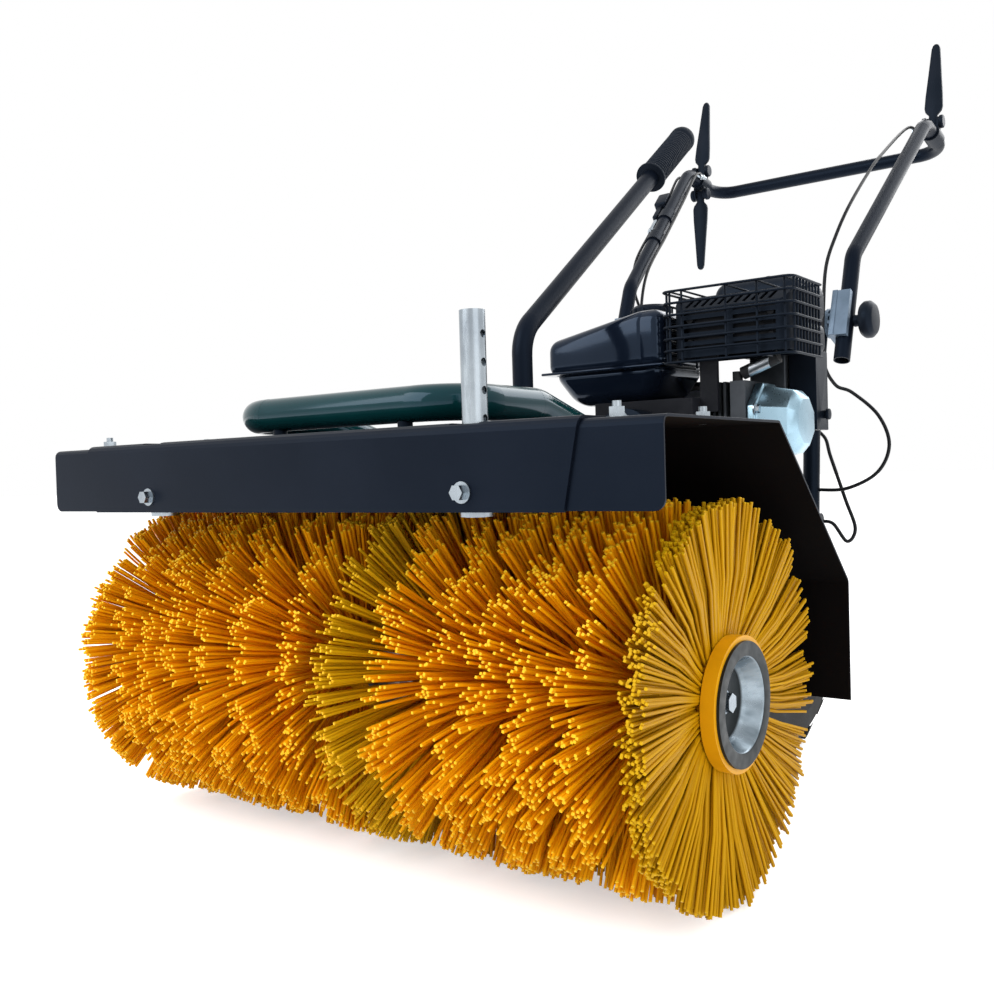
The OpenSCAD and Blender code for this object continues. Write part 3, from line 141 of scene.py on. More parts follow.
class Finish:
    """A material under construction: Object coordinates in, one Principled shader out."""

    def __init__(self, name):
        self.material = bpy.data.materials.new(name)
        self.material.use_nodes = True
        self.tree = self.material.node_tree
        self.shader = self.tree.nodes["Principled BSDF"]
        self.place = put(self.tree, "ShaderNodeTexCoord", out="Object")

    def put(self, kind, settings=None, inputs=None, out=0):
        return put(self.tree, kind, settings, inputs, out)

    def noise(self, scale, detail=3.0, stretch=None):
        place = self.place
        if stretch:
            place = self.put("ShaderNodeMapping", None, {"Vector": place, "Scale": stretch})
        inputs = {"Vector": place, "Scale": scale, "Detail": detail}
        return self.put("ShaderNodeTexNoise", None, inputs)

    def axes(self):
        node = self.tree.nodes.new("ShaderNodeSeparateXYZ")
        self.tree.links.new(self.place.socket, node.inputs[0])
        return [Field(self.tree, o) for o in node.outputs]

    def ramp(self, field, low, high):
        return self.put("ShaderNodeMapRange", {"clamp": True}, {0: field, 1: low, 2: high})

    def mix(self, factor, a, b):
        node = self.tree.nodes.new("ShaderNodeMix")
        node.data_type = "RGBA"
        feed(self.tree, node.inputs[0], factor)
        for index, colour in ((6, a), (7, b)):
            value = colour if isinstance(colour, Field) else (*colour, 1.0)
            feed(self.tree, node.inputs[index], value)
        return Field(self.tree, node.outputs[2])

    def set(self, **values):
        for key, value in values.items():
            name = key.replace("_", " ").title().replace("Ior", "IOR")
            feed(self.tree, self.shader.inputs[name], value)
        return self

    def bump(self, height, distance, strength=1.0):
        normal = self.put(
            "ShaderNodeBump", None, {"Height": height, "Distance": distance, "Strength": strength}
        )
        return self.set(normal=normal)


# Painted reflection: a bluish tint on the reflections of white lamps and world stands in for a blue
# sky.
SKY_REFLECTION_TINT = (0.45, 0.66, 1.0, 1.0)
WHITE = (1.0, 1.0, 1.0, 1.0)


def painted(name, colour, dusty, low, high, coat=0.0, peel=0.00004, mirror=0.5, tint=WHITE):
    """Paint with a faint orange peel, softly uneven gloss and a little dust."""
    f = Finish(name)
    f.set(specular_ior_level=mirror, specular_tint=tint)
    cloud = f.noise(7.0, 4.0)
    fine = f.noise(420.0, 2.0)
    f.set(base_color=f.mix(f.ramp(cloud, 0.42, 0.75), colour, dusty))
    wear = f.ramp(cloud + 0.25 * fine, 0.4, 0.85)
    f.set(roughness=low + (high - low) * wear, coat_weight=coat)
    return f.bump(fine, peel).material


def plated(name, colour, shade, low, high, metal=1.0, grain=0.00008, stretch=None, mirror=0.5):
    """Bare or plated metal with fine streaks and cloudy brightness."""
    f = Finish(name)
    f.set(specular_ior_level=mirror)
    cloud = f.noise(26.0, 4.0)
    streak = f.noise(340.0, 3.0, stretch or (1.0, 1.0, 0.12))
    f.set(base_color=f.mix(f.ramp(cloud, 0.35, 0.7), colour, shade), metallic=metal)
    f.set(roughness=low + (high - low) * f.ramp(streak, 0.3, 0.75))
    return f.bump(streak, grain).material


def moulded(name, colour, worn, low, high, grain=0.00006, scale=900.0, mirror=0.5, tint=WHITE):
    """Moulded plastic or rubber with a fine grain."""
    f = Finish(name)
    f.set(specular_ior_level=mirror, specular_tint=tint)
    cloud = f.noise(14.0, 3.0)
    grains = f.noise(scale, 2.0)
    f.set(base_color=f.mix(f.ramp(cloud, 0.4, 0.8), colour, worn))
    f.set(roughness=low + (high - low) * f.ramp(grains, 0.25, 0.8))
    return f.bump(grains, grain).material


def bristle_finish():
    """Orange strands with pale cut tips, painted darker at their roots as shade; the right half is
    lemon at both of its ends, and its end ring is painted darker still as shade.
    """
    f = Finish("bristle_strands")
    tone, reach, lemon, end = (
        f.put("ShaderNodeAttribute", {"attribute_name": name}, out="Fac")
        for name in ("tone", "reach", "lemon", "end")
    )
    body = f.mix(tone, (0.84, 0.32, 0.001), (0.96, 0.45, 0.002))
    pale = f.mix(tone, (0.56, 0.3, 0.001), (0.68, 0.39, 0.003))
    # Painted shade: outer is the lemon painted darker for the right half's end ring.
    outer = f.mix(tone, (0.47, 0.23, 0.001), (0.6, 0.32, 0.002))
    side = f.mix(end, f.mix(lemon, body, pale), outer)
    # Painted shade: strands turn darker and redder towards their roots, where they bunch together.
    painted_root_shade = f.mix(f.ramp(reach, 0.0, 0.45), (0.78, 0.25, 0.0005), side)
    root = f.mix(end, painted_root_shade, side)
    f.set(specular_ior_level=0.1)
    # The end ring's cut tips are painted darker as well: painted shade.
    cut = f.mix(end, (0.92, 0.55, 0.02), (0.62, 0.36, 0.005))
    f.set(base_color=f.mix(f.ramp(reach, 0.985, 0.998), root, cut), roughness=0.4 + 0.16 * tone)
    return f.material


def cup_finish():
    """Zinc wall between a dark oxide rim and a dark floor."""
    f = Finish("cup_zinc_and_rim")
    _, y, z = f.axes()
    dy = y - BRUSH_Y
    dz = z - BRUSH_Z
    radius = (dy * dy + dz * dz).call("SQRT")
    rim = f.ramp(radius, CUP_MOUTH_R, CUP_MOUTH_R + 0.0005)
    floor = 1.0 - f.ramp(radius, CUP_FLOOR_R - 0.0009, CUP_FLOOR_R + 0.0005)
    dark = rim.call("MAXIMUM", floor)
    streak = f.noise(90.0, 4.0, (0.3, 1.0, 1.0))
    bright = f.mix(f.ramp(streak, 0.35, 0.7), (0.26, 0.31, 0.35), (0.16, 0.2, 0.23))
    f.set(base_color=f.mix(dark, bright, (0.016, 0.02, 0.022)), metallic=1.0 - 0.25 * dark)
    f.set(roughness=0.22 + 0.2 * f.ramp(streak, 0.3, 0.8) + 0.16 * dark)
    return f.bump(streak, 0.00004).material


def boot_finish(foot_x):
    """Black rubber plug cap with a bright metal shell in its middle."""
    f = Finish("plug_boot")
    x = f.axes()[0]
    past_start = f.ramp(x, foot_x + 0.026, foot_x + 0.027)
    past_end = f.ramp(x, foot_x + 0.055, foot_x + 0.056)
    shell = past_start * (1.0 - past_end)
    grains = f.noise(700.0, 2.0)
    f.set(base_color=f.mix(shell, (0.007, 0.008, 0.01), (0.5, 0.54, 0.58)), metallic=shell)
    f.set(roughness=0.6 - 0.32 * shell + 0.1 * grains)
    return f.bump(grains, 0.0001).material


def tyre_finish():
    """Tyre rubber with a fine grain and patches of dust."""
    f = Finish("tyre_tread")
    cloud = f.noise(18.0, 4.0)
    grains = f.noise(600.0, 2.0)
    f.set(specular_ior_level=0.3)
    dust = f.ramp(cloud, 0.45, 0.8)
    f.set(base_color=f.mix(dust, (0.008, 0.008, 0.009), (0.025, 0.024, 0.022)))
    f.set(roughness=0.62 + 0.25 * f.ramp(cloud + 0.3 * grains, 0.4, 0.9))
    return f.bump(grains, 0.00025).material


EVEN = (1.0, 1.0, 1.0)

SATIN_BLACK = painted(
    "satin_black_paint", (0.004, 0.006, 0.011), (0.006, 0.0085, 0.015),
    low=0.3, high=0.44, mirror=0.1, tint=SKY_REFLECTION_TINT,
)
# Painted shade: darker paint for the inside of the hood, where shade falls.
SHADED_UNDERSIDE = painted(
    "underside_painted_shade", (0.0022, 0.0016, 0.0017), (0.003, 0.0022, 0.0022),
    low=0.6, high=0.75, mirror=0.05,
)
FRAME_BLACK = painted(
    "frame_black_paint", (0.004, 0.006, 0.01), (0.007, 0.009, 0.014),
    low=0.32, high=0.48, mirror=0.12, tint=SKY_REFLECTION_TINT,
)
SHIELD_BLACK = painted(
    "heat_shield_paint", (0.005, 0.007, 0.011), (0.009, 0.011, 0.016),
    low=0.4, high=0.55, mirror=0.14, tint=SKY_REFLECTION_TINT,
)
TEAL_GLOSS = painted(
    "teal_gloss_paint", (0.0015, 0.027, 0.029), (0.002, 0.035, 0.038),
    low=0.08, high=0.16, coat=0.12, peel=0.00002, mirror=0.3, tint=SKY_REFLECTION_TINT,
)
TANK_GLOSS = painted(
    "tank_gloss_paint", (0.005, 0.0085, 0.017), (0.007, 0.011, 0.021),
    low=0.07, high=0.14, coat=0.08, peel=0.00002, mirror=0.3, tint=SKY_REFLECTION_TINT,
)
ZINC = plated(
    "bright_zinc", (0.42, 0.47, 0.51), (0.3, 0.34, 0.38), low=0.2, high=0.36, grain=0.00003,
)
STEEL = plated(
    "machined_steel", (0.4, 0.42, 0.45), (0.28, 0.3, 0.33), low=0.28, high=0.45, grain=0.00003,
)
BRONZE = plated(
    "gear_bronze", (0.6, 0.42, 0.16), (0.45, 0.3, 0.1), low=0.3, high=0.45, grain=0.00003,
)
CAST_ALLOY = plated(
    "cast_alloy", (0.4, 0.42, 0.45), (0.28, 0.3, 0.32),
    low=0.34, high=0.52, metal=0.9, grain=0.00005, stretch=EVEN,
)
DARK_ALLOY = plated(
    "dark_alloy", (0.06, 0.066, 0.075), (0.035, 0.04, 0.047),
    low=0.36, high=0.55, metal=0.7, grain=0.00005, stretch=EVEN, mirror=0.2,
)
BRIGHT_ALLOY = plated(
    "bright_alloy", (0.34, 0.5, 0.6), (0.27, 0.41, 0.5),
    low=0.27, high=0.31, metal=0.95, grain=0.00001, stretch=EVEN,
)
CLAMP_GREY = plated(
    "clamp_grey", (0.16, 0.22, 0.3), (0.11, 0.16, 0.22),
    low=0.4, high=0.55, metal=0.5, grain=0.00005, stretch=EVEN,
)
CAST_IRON = plated(
    "black_cast_iron", (0.006, 0.007, 0.01), (0.01, 0.011, 0.015),
    low=0.45, high=0.65, metal=0.0, grain=0.0001, stretch=EVEN, mirror=0.12,
)
RIM_STEEL = painted(
    "rim_silver_paint", (0.36, 0.37, 0.39), (0.28, 0.29, 0.31), low=0.35, high=0.5,
)
RING_PLASTIC = moulded(
    "ring_plastic", (0.76, 0.36, 0.003), (0.64, 0.29, 0.002), low=0.32, high=0.5, mirror=0.2,
)
BLACK_PLASTIC = moulded(
    "black_plastic", (0.005, 0.007, 0.011), (0.009, 0.011, 0.016),
    low=0.36, high=0.55, mirror=0.14, tint=SKY_REFLECTION_TINT,
)
RUBBER = moulded(
    "black_rubber", (0.006, 0.008, 0.012), (0.01, 0.012, 0.017),
    low=0.5, high=0.72, grain=0.0001, scale=500.0, mirror=0.16, tint=SKY_REFLECTION_TINT,
)
CABLE_SHEATH = moulded(
    "cable_sheath", (0.004, 0.005, 0.007), (0.008, 0.009, 0.011),
    low=0.35, high=0.5, mirror=0.2,
)
TYRE = tyre_finish()
STRANDS = bristle_finish()

FINISH_OF_NODE = {
    "hood": SATIN_BLACK, "front_plate": SATIN_BLACK, "hood_bolts": ZINC, "post_sockets": ZINC,
    "carrier_hoop": TEAL_GLOSS, "hoop_bolts": FRAME_BLACK, "gearbox_left": CAST_ALLOY,
    "gearbox_right": CAST_ALLOY, "gearbox_beam": FRAME_BLACK, "swivel_yoke": FRAME_BLACK,
    "tiller_tube": SATIN_BLACK, "tiller_grip": RUBBER, "support_post": ZINC,
    "input_shaft": STEEL, "input_pulley": STEEL, "brush_shaft": STEEL, "worm_wheel": BRONZE,
    "bristle_carriers": RING_PLASTIC, "left_bristles": STRANDS, "right_bristles": STRANDS,
    "end_cups": cup_finish(), "end_bolts": ZINC, "engine_deck": FRAME_BLACK,
    "chassis_frame": FRAME_BLACK, "transmission_case": CAST_IRON, "left_hub": RIM_STEEL,
    "left_tyre": TYRE, "right_hub": RIM_STEEL, "right_tyre": TYRE, "crankcase": CAST_IRON,
    "cylinder": DARK_ALLOY, "valve_cover": BRIGHT_ALLOY,
    "spark_plug": boot_finish(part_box("spark_plug")[0][0]), "muffler": CAST_IRON,
    "heat_shield": SHIELD_BLACK, "muffler_cage": SHIELD_BLACK, "fuel_tank": TANK_GLOSS,
    "fuel_cap": BLACK_PLASTIC, "air_cleaner": BLACK_PLASTIC, "carburettor": DARK_ALLOY,
    "control_housing": BLACK_PLASTIC, "recoil_housing": BLACK_PLASTIC,
    "recoil_handle": BLACK_PLASTIC, "crankshaft": STEEL, "flywheel": CAST_ALLOY,
    "crank_pulley": STEEL, "drive_belt": RUBBER, "belt_guard": FRAME_BLACK,
    "tilt_rosettes": CLAMP_GREY, "handlebar": SATIN_BLACK, "tilt_plates": CLAMP_GREY,
    "left_knob": BLACK_PLASTIC, "right_knob": BLACK_PLASTIC, "lever_brackets": BLACK_PLASTIC,
    "right_lever": BLACK_PLASTIC, "left_lever": BLACK_PLASTIC, "lock_lever": BLACK_PLASTIC,
    "right_cable": CABLE_SHEATH, "left_cable": CABLE_SHEATH, "lock_cable": CABLE_SHEATH,
}
for node_name, node_object in frame["nodes"].items():
    node_object.data.materials.clear()
    node_object.data.materials.append(FINISH_OF_NODE[node_name])


# Making pieces


def show(name, mesh):
    piece = bpy.data.objects.new(name, mesh)
    bpy.context.scene.collection.objects.link(piece)
    return piece


def from_bmesh(name, bm, material, smooth=35.0):
    bmesh.ops.recalc_face_normals(bm, faces=bm.faces)
    mesh = bpy.data.meshes.new(name)
    bm.to_mesh(mesh)
    bm.free()
    mesh.materials.append(material)
    soften_shading(mesh, smooth)
    return show(name, mesh)


def soften_shading(mesh, degrees):
    mesh.shade_smooth()
    mesh.set_sharp_from_angle(angle=math.radians(degrees))


def settle(piece):
    """Turns a piece and its modifiers into one plain mesh."""
    graph = bpy.context.evaluated_depsgraph_get()
    mesh = bpy.data.meshes.new_from_object(piece.evaluated_get(graph))
    piece.modifiers.clear()
    piece.data = mesh
    return piece


def stand_for(piece, node):
    """The piece takes the place and the body of a CAD node."""
    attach(piece, body_of_node[node])
    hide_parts(node)


SHARP_FROM = math.radians(38.0)
FLAT_WITHIN = math.radians(0.4)


def softened(node, width):
    """A copy of a CAD node with its sharp edges rounded over."""
    bm = bmesh.new()
    bm.from_mesh(frame["nodes"][node].data)
    bmesh.ops.remove_doubles(bm, verts=bm.verts, dist=1e-5)
    bmesh.ops.dissolve_limit(bm, angle_limit=FLAT_WITHIN, verts=bm.verts, edges=bm.edges)
    mesh = bpy.data.meshes.new(node + "_rounded")
    bm.to_mesh(mesh)
    bm.free()
    mesh.materials.append(FINISH_OF_NODE[node])
    piece = show(node + "_rounded", mesh)
    edge = piece.modifiers.new("edges", "BEVEL")
    edge.width = width
    edge.segments = 2
    edge.limit_method = "ANGLE"
    edge.angle_limit = SHARP_FROM
    settle(piece)
    soften_shading(piece.data, 30.0)
    stand_for(piece, node)
    return piece


def add_block(bm, low, high, radius, steps=5, taper=None):
    """A box with rounded edges inside a bmesh; taper moves its corners before they are rounded."""
    made = bmesh.ops.create_cube(bm, size=1.0)
    corners = made["verts"]
    for v in corners:
        v.co = Vector(low[i] if v.co[i] < 0 else high[i] for i in range(3))
        if taper:
            v.co += taper(v.co)
    edges = list({e for v in corners for e in v.link_edges})
    bmesh.ops.bevel(bm, geom=edges, offset=radius, segments=steps, profile=0.5, affect="EDGES")


def add_turned(bm, profile, start, axis, steps=40):
    """A turned shape: profile points are (radius, distance along the axis)."""
    axis = axis.normalized()
    side = axis.orthogonal().normalized()
    other = axis.cross(side)
    rings = []
    for radius, along in profile:
        centre = start + axis * along
        if radius < 1e-6:
            rings.append([bm.verts.new(centre)])
            continue
        ring = []
        for k in range(steps):
            a = 2 * math.pi * k / steps
            spoke = side * math.cos(a) + other * math.sin(a)
            ring.append(bm.verts.new(centre + radius * spoke))
        rings.append(ring)
    for lower, upper in zip(rings, rings[1:]):
        for k in range(steps):
            corners = [lower[k % len(lower)], lower[(k + 1) % len(lower)],
                       upper[(k + 1) % len(upper)], upper[k % len(upper)]]
            corners = list(dict.fromkeys(corners))
            if len(corners) > 2:
                bm.faces.new(corners)


# Geometry node trees


def new_tree(name, inputs):
    tree = bpy.data.node_groups.new(name, "GeometryNodeTree")
    tree.interface.new_socket(name="Geometry", in_out="INPUT", socket_type="NodeSocketGeometry")
    for label, kind in inputs:
        tree.interface.new_socket(name=label, in_out="INPUT", socket_type="NodeSocket" + kind)
    tree.interface.new_socket(name="Geometry", in_out="OUTPUT", socket_type="NodeSocketGeometry")
    source = tree.nodes.new("NodeGroupInput")
    given = {o.name: Field(tree, o) for o in source.outputs if o.name}
    return tree, given


def close_tree(tree, geometry, material):
    solid = put(tree, "GeometryNodeRealizeInstances", None, {"Geometry": geometry})
    dressed = put(tree, "GeometryNodeSetMaterial", None, {"Geometry": solid, "Material": material})
    end = tree.nodes.new("NodeGroupOutput")
    tree.links.new(dressed.socket, end.inputs[0])


def grown(name, tree, values, mesh=None):
    """Runs a tree on a mesh and keeps the result as a plain mesh."""
    piece = show(name, mesh or bpy.data.meshes.new(name))
    make = piece.modifiers.new("make", "NODES")
    make.node_group = tree
    for item in tree.interface.items_tree:
        if item.in_out == "INPUT" and item.name in values:
            make[item.identifier] = values[item.name]
    return settle(piece)


def spread(tree, low, high, seed, group=None):
    """A random number for each strand, or for each group of strands."""
    float_low, float_high, identity, seed_socket = 2, 3, 7, 8
    inputs = {float_low: low, float_high: high, seed_socket: seed}
    if group:
        inputs[identity] = group
    return put(tree, "FunctionNodeRandomValue", {"data_type": "FLOAT"}, inputs, out=1)


def bristle_tree():
    """Strands bunched in tufts, the tufts in rings round the shaft, splayed at their tips."""
    tree, given = new_tree("bristle_rings", [
        ("Count", "Int"), ("Rings", "Float"), ("Tufts", "Float"), ("First", "Float"),
        ("Pitch", "Float"), ("Side", "Float"), ("Root", "Float"), ("Tip", "Float"),
        ("Lean In", "Float"), ("Lean Out", "Float"), ("Thick", "Float"), ("Lemon", "Float"),
    ])
    index = put(tree, "GeometryNodeInputIndex")
    # One lane more than rings, because the end ring is twice as thick with strands
    lanes = given["Rings"] + 1.0
    ring = index.call("MODULO", lanes).call("MINIMUM", given["Rings"] - 1.0)
    tuft = (index / lanes).call("FLOOR").call("MODULO", given["Tufts"])
    tuft_id = tuft + ring * 100.0
    first_ring = ring < 0.5
    end_ring = ring > given["Rings"] - 1.5
    loose = 1.0 - first_ring - end_ring
    inner = (1.0 - ring * 0.62).call("MAXIMUM", 0.0)
    outer = (ring + 2.0 - given["Rings"]).call("MAXIMUM", 0.0)
    share = 2 * math.pi / given["Tufts"]
    stagger = 0.37
    angle = share * (tuft + ring * stagger + spread(tree, -0.48, 0.48, 3)
                     + spread(tree, -0.15, 0.15, 4, tuft_id))
    root_x = given["First"] + given["Pitch"] * (ring + 0.5 + spread(tree, -0.2, 0.2, 5))
    sway = (tuft.call("MODULO", 2.0) - 0.5) * 0.26 + spread(tree, -0.16, 0.16, 6, tuft_id)
    bunch = sway * loose + spread(tree, -0.27, 0.27, 7) * (1.0 - 0.5 * end_ring)
    tip_x = (root_x - given["Lean In"] * inner + given["Lean Out"] * outer
             + given["Pitch"] * bunch)
    tip_angle = angle + spread(tree, -0.07, 0.07, 8, tuft_id) + spread(tree, -0.035, 0.035, 9)
    tip_r = given["Tip"] - spread(tree, 0.0, 0.006, 11) - spread(tree, 0.0, 0.005, 12, tuft_id)

    def ring_point(x, radius, turn):
        return put(tree, "ShaderNodeCombineXYZ", None, {
            0: x * given["Side"],
            1: radius * turn.call("COSINE") + BRUSH_Y,
            2: radius * turn.call("SINE") + BRUSH_Z,
        })

    root = ring_point(root_x, given["Root"], angle)
    tip = ring_point(tip_x, tip_r, tip_angle)
    way = put(tree, "ShaderNodeVectorMath", {"operation": "SUBTRACT"}, {0: tip, 1: root})
    length = put(tree, "ShaderNodeVectorMath", {"operation": "LENGTH"}, {0: way}, out="Value")
    points = put(tree, "GeometryNodePoints", None, {"Count": given["Count"], "Position": root})
    per_point = {"data_type": "FLOAT", "domain": "POINT"}
    marks = {
        "tone": spread(tree, 0.0, 1.0, 13),
        "lemon": first_ring * given["Lemon"],
        # end marks the right half's end ring, which the strand finish paints darker as shade
        "end": end_ring * given["Lemon"],
    }
    for label, value in marks.items():
        points = put(tree, "GeometryNodeStoreNamedAttribute", per_point,
                     {"Geometry": points, "Name": label, "Value": value})

    line = put(tree, "GeometryNodeCurvePrimitiveLine", None, {"Start": (0, 0, 0), "End": (0, 0, 1)})
    line = put(tree, "GeometryNodeResampleCurve", None, {"Curve": line, "Count": 3})
    place = put(tree, "GeometryNodeInputPosition")
    height = put(tree, "ShaderNodeSeparateXYZ", None, {0: place}, out=2)
    bow = (height * math.pi).call("SINE") * 0.003
    offset = put(tree, "ShaderNodeCombineXYZ", None, {0: bow, 1: 0.6 * bow})
    line = put(tree, "GeometryNodeSetPosition", None, {"Geometry": line, "Offset": offset})
    line = put(tree, "GeometryNodeStoreNamedAttribute", per_point,
               {"Geometry": line, "Name": "reach", "Value": height})
    section = put(tree, "GeometryNodeCurvePrimitiveCircle", None,
                  {"Resolution": 4, "Radius": given["Thick"]})
    strand = put(tree, "GeometryNodeCurveToMesh", None,
                 {"Curve": line, "Profile Curve": section, "Fill Caps": True})
    turn = put(tree, "FunctionNodeAlignRotationToVector", {"axis": "Z"}, {"Vector": way})
    scale = put(tree, "ShaderNodeCombineXYZ", None, {0: 1.0, 1: 1.0, 2: length})
    strands = put(tree, "GeometryNodeInstanceOnPoints", None,
                  {"Points": points, "Instance": strand, "Rotation": turn, "Scale": scale})
    close_tree(tree, strands, STRANDS)
    return tree


def tube_tree(name, material):
    """Round tubes along the edges of a mesh."""
    tree, given = new_tree(name, [("Radius", "Float"), ("Sides", "Int")])
    curve = put(tree, "GeometryNodeMeshToCurve", None, {"Mesh": given["Geometry"]})
    section = put(tree, "GeometryNodeCurvePrimitiveCircle", None,
                  {"Resolution": given["Sides"], "Radius": given["Radius"]})
    tube = put(tree, "GeometryNodeCurveToMesh", None,
               {"Curve": curve, "Profile Curve": section, "Fill Caps": True})
    close_tree(tree, tube, material)
    return tree


def bolt_tree(name, material):
    """Flanged hexagon bolts on points, each along the point's own direction."""
    tree, given = new_tree(name, [("Across", "Float"), ("Head", "Float"), ("Flange", "Float")])
    washer = put(tree, "GeometryNodeMeshCylinder", None,
                 {"Vertices": 20, "Radius": given["Flange"], "Depth": given["Head"] * 0.3})
    head = put(tree, "GeometryNodeMeshCylinder", None,
               {"Vertices": 6, "Radius": given["Across"] * 0.577, "Depth": given["Head"]})
    lift = put(tree, "ShaderNodeCombineXYZ", None, {2: given["Head"] * 0.62})
    head = put(tree, "GeometryNodeTransform", None, {"Geometry": head, "Translation": lift})
    join = tree.nodes.new("GeometryNodeJoinGeometry")
    tree.links.new(washer.socket, join.inputs[0])
    tree.links.new(head.socket, join.inputs[0])
    bolt = Field(tree, join.outputs[0])
    way = put(tree, "GeometryNodeInputNamedAttribute", {"data_type": "FLOAT_VECTOR"},
              {"Name": "way"})
    turn = put(tree, "FunctionNodeAlignRotationToVector", {"axis": "Z"}, {"Vector": way})
    bolts = put(tree, "GeometryNodeInstanceOnPoints", None,
                {"Points": given["Geometry"], "Instance": bolt, "Rotation": turn})
    close_tree(tree, bolts, material)
    return tree


def path_mesh(name, paths):
    mesh = bpy.data.meshes.new(name)
    points = [p for path in paths for p in path]
    edges = []
    first = 0
    for path in paths:
        edges += [(first + i, first + i + 1) for i in range(len(path) - 1)]
        first += len(path)
    mesh.from_pydata(points, edges, [])
    return mesh


def smooth_path(points, steps):
    """Points of a curve that passes through the given ones."""
    out = []
    last = len(points) - 1
    for i in range(last):
        a, b, c, d = (points[max(0, min(last, k))] for k in (i - 1, i, i + 1, i + 2))
        for s in range(steps):
            t = s / steps
            out.append(0.5 * (2 * b + t * (c - a) + t * t * (2 * a - 5 * b + 4 * c - d)
                              + t * t * t * (3 * (b - c) + d - a)))
    return out + [points[last]]


# Brush


def make_bristles():
    tree = bristle_tree()
    first, last = 0.046, 0.403
    rings = 7
    tufts = 26
    strands = 27
    pitch = (last - first) / rings
    for side, node in ((1.0, "right_bristles"), (-1.0, "left_bristles")):
        piece = grown(node + "_strands", tree, {
            "Count": (rings + 1) * tufts * strands, "Rings": float(rings), "Tufts": float(tufts),
            "First": first, "Pitch": pitch, "Side": side, "Root": 0.0575, "Tip": BRUSH_Z,
            "Lean In": 0.045, "Lean Out": 0.013, "Thick": 0.00185, "Lemon": max(side, 0.0),
        })
        stand_for(piece, node)


def make_cups():
    """Pressed cups with a flat rim, a steep wall, a flat floor and a bolt in the middle."""
    bore, rim_r, back, face, floor, seat = 0.0055, 0.061, 0.383, 0.408, 0.3866, 0.3855
    profile = [
        (bore, back), (0.032, back), (0.0485, 0.4045), (rim_r, 0.4045), (rim_r, face),
        (0.0475, face), (CUP_MOUTH_R, 0.4074), (0.0453, 0.406), (0.0372, 0.3885),
        (CUP_FLOOR_R, 0.3872), (0.0345, floor), (bore, floor), (bore, back),
    ]
    bm = bmesh.new()
    bolts = []
    middle = Vector((0, BRUSH_Y, BRUSH_Z))
    for side in (-1, 1):
        out = Vector((side, 0, 0))
        add_turned(bm, profile, middle, out, 72)
        bolts.append((middle + seat * out, out))
    stand_for(from_bmesh("end_cup_dishes", bm, FINISH_OF_NODE["end_cups"], 40), "end_cups")
    stand_for(bolt_heads("end_bolt_heads", bolts, 0.017, 0.008, 0.012), "end_bolts")


# Engine


def make_tank():
    """Two pressed halves on a seam flange.

    The upper half falls to the left and has a step near its right end.
    """
    low, high = at(-67, 380, 525), at(130, 552, 658)
    seam = at(0, 0, 575).z
    step = at(104, 0, 0).x
    inset = 0.002
    lap = 0.004
    slope = 0.034

    def fall(p):
        return Vector((0, 0, -slope if p.x < 0 and p.z > seam + 0.02 else 0))

    def tuck(p):
        if p.z > low.z + 0.01:
            return Vector((0, 0, 0))
        centre = (low + high) / 2
        return Vector((0.03 if p.x < centre.x else -0.03, 0.026 if p.y < centre.y else -0.026, 0))

    bm = bmesh.new()
    add_block(bm, (low.x + inset, low.y + inset, seam - lap),
              (step, high.y - inset, high.z), 0.016, 6, fall)
    add_block(bm, (step - 0.03, low.y + 2 * inset, seam - lap),
              (high.x - inset, high.y - 2 * inset, high.z - inset), 0.018, 6)
    add_block(bm, (low.x + inset, low.y + inset, low.z),
              (high.x - inset, high.y - inset, seam + lap), 0.022, 6, tuck)
    add_block(bm, (low.x - lap, low.y - lap, seam - lap / 2),
              (high.x + lap, high.y + lap, seam + lap / 2), 0.0018, 3)
    neck = [(0.0, -0.04), (0.024, -0.04), (0.024, 0.0025), (0.0, 0.0025)]
    add_turned(bm, neck, at(63, 483.2, 658), Vector((0, 0, 1)))
    stand_for(from_bmesh("fuel_tank_shell", bm, TANK_GLOSS, 40), "fuel_tank")


def make_air_cleaner():
    """A tray and a lid with three ribs in front and a wing nut on top."""
    low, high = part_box("air_cleaner")
    top = high[2] - 0.010
    split = low[2] + 0.045
    inset = 0.002
    rib_end = 0.03
    bm = bmesh.new()
    add_block(bm, (low[0] + inset, low[1] + inset, low[2]),
              (high[0] - inset, high[1] - inset, split), 0.012, 4)
    add_block(bm, (low[0], low[1], split - 0.006), (high[0], high[1], top), 0.022, 7)
    for k in range(3):
        z = split + 0.012 + 0.011 * k
        add_block(bm, (low[0] + rib_end, low[1] - 0.0012, z),
                  (high[0] - rib_end, low[1] + 0.004, z + 0.004), 0.001, 2)
    middle = Vector(((low[0] + high[0]) / 2, (low[1] + high[1]) / 2, top))
    nut = [(0.0, -0.002), (0.011, -0.002), (0.011, 0.003), (0.006, 0.005), (0.005, 0.0095),
           (0.0, 0.0098)]
    add_turned(bm, nut, middle, Vector((0, 0, 1)))
    half_wing = Vector((0.007, 0.0018, 0.0035))
    for sign in (-1, 1):
        wing = middle + Vector((0.010 * sign, 0, 0.0062))
        add_block(bm, wing - half_wing, wing + half_wing, 0.0014, 2)
    stand_for(from_bmesh("air_cleaner_lid", bm, BLACK_PLASTIC), "air_cleaner")


